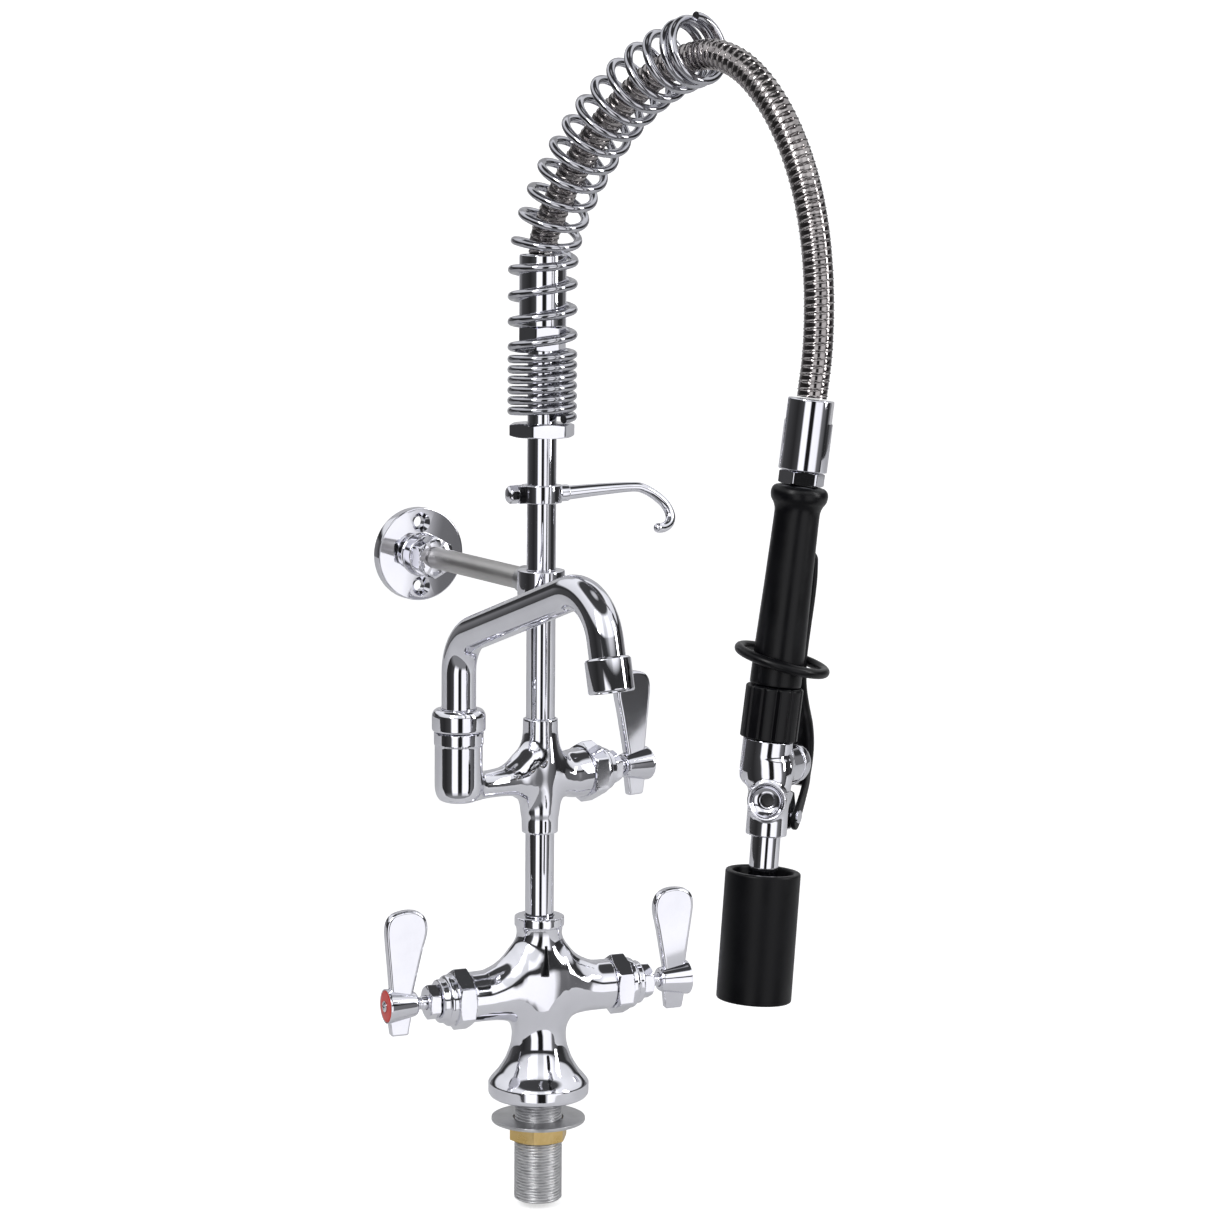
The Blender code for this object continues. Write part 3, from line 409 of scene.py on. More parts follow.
def soft_min(a, b, k):
    h = np.clip(0.5 + 0.5 * (b - a) / k, 0, 1)
    return b * (1 - h) + a * h - k * h * (1 - h)


def soft_max(a, b, k):
    return -soft_min(-a, -b, k)


def smooth_table(points, count=400):
    """Dense monotone-smooth table through (place, value) pairs."""
    points = sorted(points)
    x = np.array([p[0] for p in points], float)
    y = np.array([p[1] for p in points], float)
    slope = np.diff(y) / np.diff(x)
    tangent = np.zeros(len(x))
    tangent[0], tangent[-1] = slope[0], slope[-1]
    for k in range(1, len(x) - 1):
        if slope[k - 1] * slope[k] > 0:
            tangent[k] = 2 * slope[k - 1] * slope[k] / (slope[k - 1] + slope[k])
    dense = np.linspace(x[0], x[-1], count)
    k = np.clip(np.searchsorted(x, dense) - 1, 0, len(x) - 2)
    step = x[k + 1] - x[k]
    t = (dense - x[k]) / step
    value = ((2 * t ** 3 - 3 * t ** 2 + 1) * y[k] + (t ** 3 - 2 * t ** 2 + t) * step * tangent[k]
             + (3 * t ** 2 - 2 * t ** 3) * y[k + 1] + (t ** 3 - t ** 2) * step * tangent[k + 1])
    return dense, value, np.gradient(value, dense)


def turned_field(profile, edge=0.8):
    """Distance to a turned body from (z, radius) pairs, cut off at both ends."""
    place, value, slope = smooth_table(profile)

    def field(radial, axial):
        r = np.interp(axial, place, value)
        s = np.interp(axial, place, slope)
        side = (radial - r) / np.sqrt(1 + s * s)
        return soft_max(side, np.maximum(axial - place[-1], place[0] - axial), edge)
    return field


def oval_field(stations, edge=0.6):
    """Distance to a body through ovals (x, low, high, half depth) along x."""
    tables = [smooth_table([(s[0], s[i]) for s in stations]) for i in (1, 2, 3)]

    def field(x, y, z):
        low, high, depth = (np.interp(x, t[0], t[1]) for t in tables)
        half, middle = (high - low) / 2, (high + low) / 2
        size = np.sqrt(((z - middle) / half) ** 2 + (y / depth) ** 2)
        near = (size - 1) * np.minimum(half, depth)
        ends = np.maximum(x - tables[0][0][-1], tables[0][0][0] - x)
        return soft_max(near, ends, edge)
    return field


def rod_field(radial, axial, radius, low, high, edge=0.4):
    return soft_max(radial - radius, np.maximum(axial - high, low - axial), edge)


def skin(field, low, high, step):
    """Mesh the zero surface of field(x, y, z) inside a box (mm), then pull the corners onto it."""
    axes = [np.arange(a, b + step, step) for a, b in zip(low, high)]
    value = np.empty([len(a) for a in axes], np.float32)
    y, z = np.meshgrid(axes[1], axes[2], indexing="ij")
    for i, x in enumerate(axes[0]):
        value[i] = field(np.full(y.shape, x), y, z)
    solid = value < 0
    nx, ny, nz = value.shape
    count = np.zeros((nx - 1, ny - 1, nz - 1), np.int8)
    offsets = [(a, b, c) for a in (0, 1) for b in (0, 1) for c in (0, 1)]
    for a, b, c in offsets:
        count += solid[a:nx - 1 + a, b:ny - 1 + b, c:nz - 1 + c]
    cells = np.argwhere((count > 0) & (count < 8))
    number = np.full(count.shape, -1, np.int64)
    number[tuple(cells.T)] = np.arange(len(cells))
    total, hits = np.zeros((len(cells), 3)), np.zeros(len(cells))
    for a in offsets:
        for axis in range(3):
            if a[axis]:
                continue
            b = tuple(v + (i == axis) for i, v in enumerate(a))
            fa = value[tuple((cells + a).T)]
            fb = value[tuple((cells + b).T)]
            cross = (fa < 0) != (fb < 0)
            t = np.zeros(len(cells))
            t[cross] = fa[cross] / (fa[cross] - fb[cross])
            spot = cells + np.array(a, float)
            spot[:, axis] += t
            total[cross] += spot[cross]
            hits[cross] += 1
    corners = total / hits[:, None] * step + np.array(low, float)
    small = 0.02
    for _ in range(3):
        here = field(*corners.T)
        gradient = np.stack([
            (field(*(corners + small * np.eye(3)[i]).T)
             - field(*(corners - small * np.eye(3)[i]).T)) / (2 * small)
            for i in range(3)], axis=1)
        length = np.maximum((gradient ** 2).sum(axis=1), 0.05)
        corners -= np.clip(here / length, -0.5 * step, 0.5 * step)[:, None] * gradient
    quads = []
    for axis in range(3):
        u, v = (axis + 1) % 3, (axis + 2) % 3
        first = [slice(None)] * 3
        second = [slice(None)] * 3
        first[axis], second[axis] = slice(0, -1), slice(1, None)
        flips = np.argwhere(solid[tuple(first)] != solid[tuple(second)])
        inside = (flips[:, u] > 0) & (flips[:, v] > 0) & (flips[:, u] < value.shape[u] - 1) \
            & (flips[:, v] < value.shape[v] - 1)
        flips = flips[inside]
        ring = []
        for du, dv in ((-1, -1), (0, -1), (0, 0), (-1, 0)):
            cell = flips.copy()
            cell[:, u] += du
            cell[:, v] += dv
            ring.append(number[tuple(cell.T)])
        ring = np.stack(ring, axis=1)
        outward = solid[tuple(flips.T)]
        ring[~outward] = ring[~outward][:, ::-1]
        quads.append(ring)
    quads = np.concatenate(quads)
    quads = quads[(quads >= 0).all(axis=1)]
    mesh = bpy.data.meshes.new("skin")
    mesh.from_pydata((corners * MM).tolist(), [], quads.tolist())
    mesh.update()
    return mesh


def plate_distance(outline, u, v):
    """Signed distance in a plane to a closed outline."""
    points = np.array(outline, float)
    best = np.full(u.shape, 1e9)
    inside = np.zeros(u.shape, bool)
    for a, b in zip(points, np.roll(points, -1, axis=0)):
        edge = b - a
        t = np.clip(((u - a[0]) * edge[0] + (v - a[1]) * edge[1]) / (edge @ edge), 0, 1)
        best = np.minimum(best, (u - a[0] - t * edge[0]) ** 2 + (v - a[1] - t * edge[1]) ** 2)
        crosses = (a[1] > v) != (b[1] > v)
        if a[1] != b[1]:
            inside ^= crosses & (u < (b[0] - a[0]) * (v - a[1]) / (b[1] - a[1]) + a[0])
    return np.where(inside, -1, 1) * np.sqrt(best)


# ---------------------------------------------------------------- deck base

ARM_STATIONS = (
    (45, 49.2, 79.0, 14.9), (36, 49.2, 79.2, 14.9), (29, 49.0, 81.5, 15.0), (23, 48.2, 85.2, 15.6),
    (19, 46.5, 89.2, 16.2), (15.5, 43.0, 93.5, 16.8), (12, 39.0, 96.5, 17.4), (6, 36.0, 98.0, 18.0))
FINE_STEP = 0.7
SMALL_STEP = 0.35


def base_field():
    column = turned_field((
        (0, 27.6), (0.9, 28.9), (3, 30), (8.6, 30), (9.8, 29.4), (16.5, 24), (25, 19.2), (35, 16.4), (44, 16),
        (56, 17.4), (68, 17.4), (84, 14.6), (96, 13.2), (103.6, 14.0), (104.3, 14.8), (109.3, 14.8),
        (110, 14.3)))
    arms = oval_field([(-x, *rest) for x, *rest in ARM_STATIONS]
                      + [(0, 35.6, 98.2, 18.1)] + list(ARM_STATIONS))

    def field(x, y, z):
        radial = np.hypot(x, y)
        solid = soft_min(column(radial, z), arms(x, y, z), 4.0)
        solid = soft_max(solid, -rod_field(radial, z, PIPE_R + 0.2, 92, 130), 0.3)
        return soft_max(solid, -rod_field(radial, z, 14.6, -9, 12), 0.3)
    return field


show("base_casting", skin(base_field(), (-46.5, -31.5, -1.5), (46.5, 31.5, 112), FINE_STEP), "base_body",
    CAST)


def thread(radius, depth, pitch):
    """Shape for lathe: a screw thread on the outline's outer face."""
    def shape(angle, r, z):
        if r < radius - 0.01:
            return r
        turn = (z / pitch - angle / (2 * math.pi)) % 1.0
        return radius - depth * max(0.0, 1 - 1.35 * abs(2 * turn - 1))
    return shape


def rows(radius, low, high, step):
    count = max(2, int((high - low) / step))
    return [(radius, low + (high - low) * k / count, 0) for k in range(count + 1)]


show("threaded_shank", lathe(
    [(10.5, -63, 0), (13.2, -63, 0), *rows(14.3, -62.2, 11.5, 0.22), (10.5, 11.5, 0)], 0, 96,
    thread(14.3, 0.85, 1.81)), "mounting_shank", SATIN, sharp=60)
show("deck_washer", lathe([(15, -14.9), (28, -14.9), (28, -12.9), (15, -12.9)], 0.35), "clamp_washer", SATIN)
show("brass_lock_nut", nut(14.6, 16, -26.2, -15.2, 0.8), "lock_nut", BRASS)
for name, low, high in (("lower_riser", 92, 166), ("upper_riser", 221.6, 455)):
    show(name + "_tube", lathe([(6.3, low), (PIPE_R, low), (PIPE_R, high), (6.3, high)], 0.3), name, CHROME)

# ---------------------------------------------------------------- valves

PADDLE = ((2, 48.8), (20, 50.6), (38, 52.6), (46, 53.2), (52, 52.0), (55.6, 48.6), (57.1, 43.5), (57.3, 38),
          (56.1, 33), (53, 29.3), (48, 27.5), (42, 27.7), (30, 30.6), (2, 36.5))
TAIL = ((-2, 35.4), (-2, 50.6), (-10, 49.6), (-17.6, 48.4), (-18.4, 47.4), (-18.4, 38.4), (-17.6, 37.5),
    (-10, 36.4))


def upright():
    return Matrix.Rotation(math.pi / 2, 4, "X")


def screw_field(x, y, z):
    radial = np.hypot(x, y)
    head = soft_max(radial - 3.3, np.maximum(z - 53.2 + 0.06 * radial ** 2, 51.6 - z), 0.25)
    slots = np.minimum(*(np.maximum(np.maximum(abs(a) - 0.42, abs(b) - 1.9), 52.0 - z)
                         for a, b in ((x, y), (y, x))))
    return soft_max(head, -slots, 0.12)


def valve(side, seat, hinge, index):
    body = f"{side}_valve"
    show(f"{side}_bonnet_hex", nut(4.5, 16, 0.3, 10.6, 1.3), f"{side}_bonnet", CHROME, seat)
    show(f"{side}_bonnet_neck", lathe([
        (4.5, 9.5), (14.6, 9.5, 0), (15.2, 11.2), (15.2, 13.6), (14.4, 15.0), (12.9, 15.4), (12.9, 18.8),
        (12.2, 19.5), (4.5, 19.5)], 0.7), [], CHROME, seat, body="faucet", slot="chrome")
    show(f"{side}_gland_nut", nut(4.35, 9.2, 19.8, 26.5, 0.9), f"{side}_packing_nut", CHROME, seat)
    show(f"{side}_spindle", lathe([
        (0, -9.7), (4, -9.7), (4, 29.6), (3.6, 30), (3.6, 31), (4, 31.4), (4, 47), (2.3, 47), (2.3, 41),
        (0, 41)], 0.2, 48), f"{side}_stem", CHROME, hinge)
    show(f"{side}_lever_hub", lathe([
        (4.3, 33), (6.6, 33), (7.3, 34.2), (7.9, 37.6), (10.2, 50.2), (10.3, 51.5), (9.45, 51.5), (9.45, 50),
        (2.4, 50), (2.4, 47.3), (4.3, 47.3)], 0.3, 72), f"{side}_lever", CHROME, hinge)
    paddle = placed(slab(smooth_route(PADDLE, 90)[:, :2], -3.2, 3.2, 2.0), upright())
    tail = placed(slab(TAIL, -2.5, 2.5, 1.0), upright())
    show(f"{side}_lever_paddle", paddle, [], CHROME, hinge, body=body, slot="chrome")
    show(f"{side}_lever_tail", tail, [], CHROME, hinge, body=body, slot="chrome")
    show(f"{side}_index", lathe([
        (2.6, 50.2), (9.3, 50.2), (9.3, 51.3), (8.7, 51.75), (4.0, 51.9), (2.6, 51.5)], 0.25, 72),
        f"{side}_index_disc", index, hinge)
    show(f"{side}_cross_screw", skin(screw_field, (-3.8, -3.8, 51), (3.8, 3.8, 53.8), 0.17),
         f"{side}_lever_screw", CHROME, hinge)


for side, sign, index in (("hot", -1, RED), ("cold", 1, BLUE)):
    seat = axes_matrix((sign * ARM_END, 0, AXIS_Z), (0, 0, 1), (sign, 0, 0))
    valve(side, seat, seat @ turn_z(sign * LEVER_LEAN), index)
outward = ADDON.to_3x3() @ Vector((1, 0, 0))
seat = axes_matrix(ADDON.translation / MM + outward * ADDON_ARM_END, (0, 0, 1), outward)
valve("addon", seat, seat, PLAIN)

# ---------------------------------------------------------------- add-on faucet and spout


def addon_field():
    column = turned_field((
        (-32.6, 10.2), (-31.9, 10.7), (-24.6, 10.9), (-20, 11.6), (-8, 12.6), (8, 12.6), (20, 11.4),
        (28, 10.4), (35.3, 10.3), (36, 9.8)))
    arms = oval_field((
        (-56, -7.4, 10.5, 9.0), (-50, -7.4, 9.4, 8.6), (-40, -7.4, 8.8, 8.4), (-30, -7.6, 9.4, 8.8),
        (-22, -8.4, 12.4, 9.8), (-15.5, -11.5, 17.5, 11.2), (-9, -16, 22, 12.2), (0, -18, 24, 12.8),
        (9, -16, 20, 12.8), (13, -14.0, 16, 13), (17, -13.2, 13.4, 13.4), (22, -14.2, 14.2, 14.2),
        (30, -15, 15, 15)))
    boss = turned_field((
        (-7.4, 6.5), (-7.1, 8.2), (-5.4, 11.5), (-1.5, 13.4), (3, 13.9), (26.3, 13.9), (26.9, 14.4),
        (33.7, 14.4), (34.2, 14.0)))

    def field(x, y, z):
        radial, out = np.hypot(x, y), np.hypot(x - SWIVEL_X, y)
        solid = soft_min(column(radial, z), arms(x, y, z), 3.0)
        solid = soft_min(solid, boss(out, z), 3.0)
        for low, high in ((27, 60), (-60, -24.6)):
            solid = soft_max(solid, -rod_field(radial, z, PIPE_R + 0.2, low, high), 0.3)
        return soft_max(solid, -rod_field(out, z, 12.4, 12, 60), 0.3)
    return field


show("addon_casting", skin(addon_field(), (-76.5, -17, -34.5), (32, 17, 38.5), FINE_STEP), "addon_body",
    CAST, ADDON)


def rounded_line(corners, radii, steps=20):
    points = [Vector(corners[0])]
    for before, corner, after, radius in zip(corners, corners[1:], corners[2:], radii):
        corner = Vector(corner)
        back, on = (Vector(before) - corner).normalized(), (Vector(after) - corner).normalized()
        half = back.angle(on) / 2
        centre = corner + (back + on).normalized() * (radius / math.sin(half))
        start = corner + back * (radius / math.tan(half)) - centre
        end = corner + on * (radius / math.tan(half)) - centre
        span = start.angle(end)
        for k in range(steps + 1):
            t = k / steps
            around = start * math.sin((1 - t) * span) + end * math.sin(t * span)
            points.append(centre + around / math.sin(span))
    points.append(Vector(corners[-1]))
    return points


SPOUT_CORNERS = ((0.0, 205.0), (0.0, 280.4), (146.6, 330.0), (159.6, 277.8))
line = rounded_line(SPOUT_CORNERS, (27, 29))
show("spout_tube", sweep([(p.x, 0, p.y) for p in line], round_section(10, 64)), "spout", CHROME, SPOUT)
down = (Vector(SPOUT_CORNERS[3]) - Vector(SPOUT_CORNERS[2])).normalized()
TIP = SPOUT @ along((down.x, 0, down.y), (159.6, 0, 277.8), (0, 1, 0))
show("aerator_cup", lathe([
    (10.3, -12.5), (11.7, -12.5), (12.6, -11.4), (12.6, 5.2), (12.1, 6.1), (11.2, 6.1), (11, 5.4), (11, 1.2),
    (10.3, 0.6)], 0.3), "aerator_shell", CHROME, TIP)
holes = [placed(lathe([(0, 2), (0.75, 2), (0.75, 6), (0, 6)], 0, 16), shift(
    2.6 * ring * math.cos(math.pi * k / (3 * ring)), 2.6 * ring * math.sin(math.pi * k / (3 * ring)), 0))
    for ring in (1, 2, 3) for k in range(6 * ring)]
show("aerator_screen", cut(lathe([(0, 0.3), (9.8, 0.3), (9.8, 1.5), (10.7, 1.5), (10.7, 4.6), (0, 4.6)],
     0.3), *holes), "aerator_insert", DARK, TIP)
SPOUT_ROOT = Matrix.Translation((SWIVEL_AT.x, SWIVEL_AT.y, 0))
show("spout_nut", lathe([
    (10.3, 227.1), (14.8, 227.1), (15.6, 228), (15.6, 236.6), (14.8, 238.6), (13.4, 239.9), (10.3, 240)],
    0.7), "swivel_nut", CHROME, SPOUT_ROOT)

# ---------------------------------------------------------------- wall bracket and hook

BRACKET_AT = BRACKET @ along((0, 1, 0), (0, 0, BRACKET_Z))
low, high = BRACKET_Z - 8, BRACKET_Z + 8
show("bracket_collar", lathe([(8.75, low), (14, low), (14, high), (8.75, high)], 0.9), "bracket_ring",
    CHROME, BRACKET)
show("bracket_socket", lathe([(7.05, 12), (8.4, 12), (8.4, 21), (7.05, 21)], 0.4), [], SATIN, BRACKET_AT,
     body="faucet", slot="satin_steel")
BRACKET_NUT = 10.5
nut_low = BRACKET_REACH - 8 - 10 - 0.3 - BRACKET_NUT  # less the flange, its boss, a gap and the nut
show("bracket_bar", lathe([
    (0, 13.5), (6.75, 13.5), (6.75, nut_low - 1.6), (6, nut_low - 0.8), (6, 157.2), (0, 157.2)], 0.3),
    "bracket_arm", BRUSHED, BRACKET_AT)
show("bracket_hex", nut(6.3, 11.6, nut_low, nut_low + BRACKET_NUT, 1.0), "bracket_nut", CHROME, BRACKET_AT)
flange = lathe([
    (6.3, 148.3), (13, 148.3), (13, 157.6), (13.7, 158.3, 0.3), (29.2, 158.3), (29.2, 166.3), (0, 166.3),
    (0, 159.3), (6.3, 159.3)], 0.9, 128)
drills = []
for side in (-1, 1):
    drill = lathe([(0, 156), (6.4, 156), (6.4, 158), (6.1, 158.4), (3.5, 161.3), (3.5, 169), (0, 169)], 0.1,
        48)
    drills.append(placed(drill, shift(side * 20.1, 0, 0)))
show("flange_plate", cut(flange, *drills), "wall_flange", CHROME, BRACKET_AT, sharp=25)

low, high = HOOK_Z - 5.2, HOOK_Z + 5.2
show("hook_band", lathe([(8.75, low), (12, low), (12, high), (8.75, high)], 0.5), "hook_clamp", CHROME)
for name, near, far in (("front", -4.6, -0.7), ("back", 0.7, 4.6)):
    ear = slab([(-10, near), (-10, far), (-15.4, far), (-15.4, near)], low, high, 0.5)
    show(f"hook_ear_{name}", ear, [], CHROME, body="faucet", slot="chrome")
show("hook_boss", lathe([(0, 9.5), (5.2, 9.5), (4.9, 11.5), (4.9, 16.6), (0, 16.6)], 0.5, 48), [], CHROME,
     along((1, 0, 0), (0, 0, HOOK_Z)), body="faucet", slot="chrome")
HOOK_ROUTE = ((15.5, 0, 360.7), (38, 0, 362.2), (58, 0, 362.9), (65, -0.4, 361.6), (72, -1.2, 357.6),
              (77.8, -2.6, 352.2), (80.4, -4.6, 345.8), (78.4, -7.0, 341.2), (73.4, -9.2, 339.1),
              (67.6, -11.2, 339.6))


def hook_radius(k, n):
    t = k / (n - 1)
    tip = max(0.0, (t - 0.972) / 0.028)
    return (4.2 - 1.3 * min(1.0, 2.2 * t)) * math.sqrt(max(0.02, 1 - tip * tip))


show("hook_bar", sweep(smooth_route(HOOK_ROUTE, 160), round_section(hook_radius, 32)), "hook_rod", CHROME)
HOOK_SIDE = along((-1, 0, 0), (0, 0, HOOK_Z))
show("hook_cap_nut", lathe([(0, 15.5), (5.3, 15.5), (5.5, 16.2), (5.5, 20.0), (3.8, 21.8), (0, 22.4)], 0.9,
     144, hexagon(4.8)), "hook_screw", CHROME, HOOK_SIDE)
show("hook_stud", lathe([(0, 9.6), *rows(2.4, 9.6, 15.6, 0.12), (0, 15.6)], 0, 48, thread(2.4, 0.3, 0.8)),
     [], BRASS, HOOK_SIDE, body="faucet", slot="brass", sharp=60)

# ---------------------------------------------------------------- overhead spring and hose

show("spring_seat", nut(9.1, 17, 394, 402, 1.0), "spring_seat_nut", CHROME, ARCH)
show("hose_hex", nut(9.1, 12.2, 444, 458, 1.0), "hose_nut", CHROME, ARCH)
show("hose_barrel", lathe([(0, 458.3), (13.7, 458.3), (13.7, 499), (12.6, 499.7), (0, 499.7)], 0.5),
     "hose_sleeve", CHROME, ARCH)

SPRING_R, WIRE_R = 17.85, 2.5
SPRING_ROUTE = ((0, 405.2), (0, 440), (0, 470), (0.2, 492), (3, 508), (10.5, 525), (21.5, 543), (38, 563.5),
                (58, 582.5), (80, 598), (103, 608.5), (124.5, 615))
CLOSE_COILS, CLOSE_PITCH, OPEN_COILS, END_COILS, END_PITCH = 6.5, 6.0, 15.0, 2.0, 6.5
HOSE_ROUTE = ((0, 0, 500.1), (0, 0, 501.6), (0.6, 0, 508), (4.5, 0, 517), (11.5, 0, 529), (22.5, 0, 545),
              (38.5, 0, 563.5), (58, 0, 581), (80, 0, 595.8), (104, 0, 606.3), (128, 0.2, 611.3),
              (146, 0.5, 608), (162, 1.0, 598.5), (177, 1.6, 583), (189, 2.2, 564.5), (198.5, 2.8, 543),
              (204.8, 3.2, 520), (208.3, 3.4, 496), (209.6, 3.2, 472), (209.4, 2.4, 450), (208.2, 0.2, 428.4))
HOSE_R, HOSE_PITCH = 8.6, 4.1


def spring_line(per_turn):
    axis = smooth_route([(s, 0, z) for s, z in SPRING_ROUTE], 400)
    length = np.linalg.norm(np.diff(axis, axis=0), axis=1).sum()
    open_pitch = (length - CLOSE_COILS * CLOSE_PITCH - END_COILS * END_PITCH) / OPEN_COILS
    turn = np.linspace(0, CLOSE_COILS + OPEN_COILS + END_COILS, int(per_turn * 23.5) + 1)
    far = np.interp(turn, [0, CLOSE_COILS, CLOSE_COILS + OPEN_COILS, turn[-1]], [
        0, CLOSE_COILS * CLOSE_PITCH, CLOSE_COILS * CLOSE_PITCH + OPEN_COILS * open_pitch, length])
    place = far / length * (len(axis) - 1)
    at = np.stack([np.interp(place, np.arange(len(axis)), axis[:, i]) for i in range(3)], axis=1)
    tangent = np.gradient(axis, axis=0)
    tangent = np.stack([np.interp(place, np.arange(len(axis)), tangent[:, i]) for i in range(3)], axis=1)
    tangent /= np.linalg.norm(tangent, axis=1)[:, None]
    out = np.stack([tangent[:, 2], np.zeros(len(turn)), -tangent[:, 0]], axis=1)
    angle = 2 * np.pi * turn[:, None]
    return at + SPRING_R * (np.cos(angle) * out + np.sin(angle) * np.array([0, 1, 0]))


BEND = ("arch_base", "hose_end", (0, 0, 0.5), (0.0763, -0.1938, 0.5))
spring = placed(sweep(spring_line(40), round_section(WIRE_R, 20)), ARCH)
show("arch_spring", spring, "overhead_spring", SPRING_STEEL, blend=BEND)

hose_line = smooth_route(HOSE_ROUTE, 1200)
hose_length = float(np.linalg.norm(np.diff(hose_line, axis=0), axis=1).sum())


def hose_section(k, n, sides=48):
    """Convex strip with a thin raised lip once a turn, wound round the hose."""
    corners = []
    for s in range(sides):
        turn = (k / (n - 1) * hose_length / HOSE_PITCH - s / sides) % 1.0
        lip = max(0.0, 1 - abs(turn - 0.86) / 0.10)
        seam = max(0.0, 1 - abs(turn - 0.97) / 0.05) + max(0.0, 1 - (turn + 0.03) / 0.05)
        r = (HOSE_R - 0.62 + 0.14 * math.sin(math.pi * min(turn / 0.76, 1.0))
             + 0.6 * lip ** 0.6 - 0.55 * min(seam, 1))
        corners.append((r * math.cos(2 * math.pi * s / sides), r * math.sin(2 * math.pi * s / sides)))
    return corners


hose = show("hose_tube", placed(sweep(hose_line, hose_section), ARCH), "hose", HOSE_STEEL, blend=BEND,
    sharp=80)

# ---------------------------------------------------------------- spray valve

flats = [placed(slab([(11.6, -14), (20, -14), (20, 14), (11.6, 14)], -12.5, 4, 0.05, 1), turn_z(turn))
         for turn in (100, 280)]
ferrule = show("hose_ferrule", cut(lathe([
    (0, -39), (13.15, -39), (13.15, -0.8), (12.4, -0.3), (0, -0.3)], 0.7), *flats), "hose_end_ferrule",
    CHROME, TOOL)
adapter = show("adapter_hex", nut(5, 11, -46.7, -39.3, 0.8), "handle_adapter", CHROME, TOOL)
show("grip_sleeve", lathe([
    (0, -155.7), (13.6, -155.7), (14, -154.6), (13.9, -140), (12.9, -100), (12.3, -66), (12.3, -60.5),
    (13.2, -57.6), (15.1, -55), (15.65, -51.6), (15.0, -49), (13.2, -47.4), (10, -47), (0, -47)], 1.6),
    "grip", MOULDED, TOOL)


def flutes(angle, radius, z):
    off = (angle / (2 * math.pi) * 12 + 0.5) % 1.0 - 0.5
    return radius - (1.1 * math.exp(-(off / 0.085) ** 2) if radius > 14 else 0)


show("fluted_collar", lathe([
    (0, -184.7), (15.6, -184.7), (15.6, -183), *rows(15.6, -182, -158, 3), (15.6, -157), (14.6, -156),
    (0, -156)], 0.5, 288, flutes), "grip_collar", MOULDED, TOOL)

LUG = ((4, -205), (19, -205), (19, -213.4), (28, -216), (31, -223), (31, -232), (26, -236.4), (4, -236.6))
DISH_TURN = math.radians(196)


def spray_field():
    top = turned_field((
        (-212, 4), (-211.4, 8), (-210, 11), (-207, 13), (-202, 13.6), (-185.8, 13.6), (-185, 12.9)))
    lower = turned_field((
        (-237, 10.6), (-236.3, 11.2), (-224, 11.1), (-214, 11.3), (-204, 12.2), (-196, 11), (-192, 6)))
    dish = turned_field(((8.4, 0.5), (9.2, 5.5), (10.4, 7.4), (12.9, 9.5), (15, 10.5), (22, 10.6)), 0.3)
    move = np.array(TOOL.inverted() @ HEAD)
    across, deep = math.cos(DISH_TURN), math.sin(DISH_TURN)

    def field(x, y, z):
        tx, ty, tz = (move[i][0] * x + move[i][1] * y + move[i][2] * z + move[i][3] / MM for i in range(3))
        solid = soft_min(top(np.hypot(tx, ty), tz), lower(np.hypot(x, y), z), 2.5)
        solid = soft_min(solid, rod_field(np.hypot(y, z - PLUNGER_Z), x, 11.8, 0, 20.5, 0.8), 2.0)
        lug = soft_max(plate_distance(LUG, x, z), abs(y) - 4.4, 1.2)
        solid = soft_min(solid, lug, 2.0)
        out, side = across * x + deep * y, across * y - deep * x
        radial = np.hypot(side, z + 217)
        solid = soft_min(solid, rod_field(radial, out, 10.6, 0, 12.8, 1.2), 2.2)
        solid = soft_max(solid, -dish(radial, out), 0.9)
        solid = soft_max(solid, -rod_field(radial, out, 3.7, 3, 30), 0.5)
        return soft_max(solid, -rod_field(np.hypot(y, z - PLUNGER_Z), x, 3.6, 8, 40), 0.3)
    return field


show("spray_casting", skin(spray_field(), (-15.5, -16, -238.5), (33, 15.5, -183.5), SMALL_STEP),
    "spray_body", CAST, HEAD)
show("port_plug", placed(lathe([(0, 2.9), (3.6, 2.9), (3.6, 3.9), (2.9, 3.6), (0, 3.4)], 0.1, 48), along(
    (math.cos(DISH_TURN), math.sin(DISH_TURN), 0), (0, 0, -217))), [], SEAL, HEAD, body="spray_valve",
    slot="black_plastic")
PLUNGER = HEAD @ along((1, 0, 0), (0, 0, PLUNGER_Z))
show("plunger_cap", lathe([
    (3.7, 20.8), (12.4, 20.8), (12.4, 27.2), (11.6, 30.6), (9.6, 33.6), (6.6, 35.6), (3.7, 36)], 1.2),
    "plunger_bonnet", CHROME, PLUNGER)
show("plunger_stem", lathe([(0, 10), (3.1, 10), (3.1, 38.6), (2.2, 39.7), (0, 39.7)], 0.5, 48), "plunger",
    BRASS, PLUNGER)
show("outlet_pipe", lathe([(5.6, -264), (8, -264), (8, -237.3), (5.6, -237.3)], 0.2), "outlet_tube", CHROME,
    HEAD)
show("rubber_bumper", lathe([
    (14.5, -TOOL_LENGTH), (20.5, -TOOL_LENGTH), (20.5, -BUMPER_TOP), (16.5, -BUMPER_TOP),
    (16.0, -OUTLET_TUBE_END), (8.6, -OUTLET_TUBE_END - 2.5), (8.6, -OUTLET_TUBE_END - 10),
    (14.5, -OUTLET_TUBE_END - 13)], 1.3, 128), "bumper", RUBBER, HEAD)
jets = [placed(lathe([(0, -325), (0.8, -325), (0.8, -316), (0, -316)], 0, 16), shift(
    r * math.cos(2 * math.pi * (k + 0.3 * r) / n), r * math.sin(2 * math.pi * (k + 0.3 * r) / n), 0))
    for r, n in ((0, 1), (4.2, 6), (8.4, 12)) for k in range(n)]
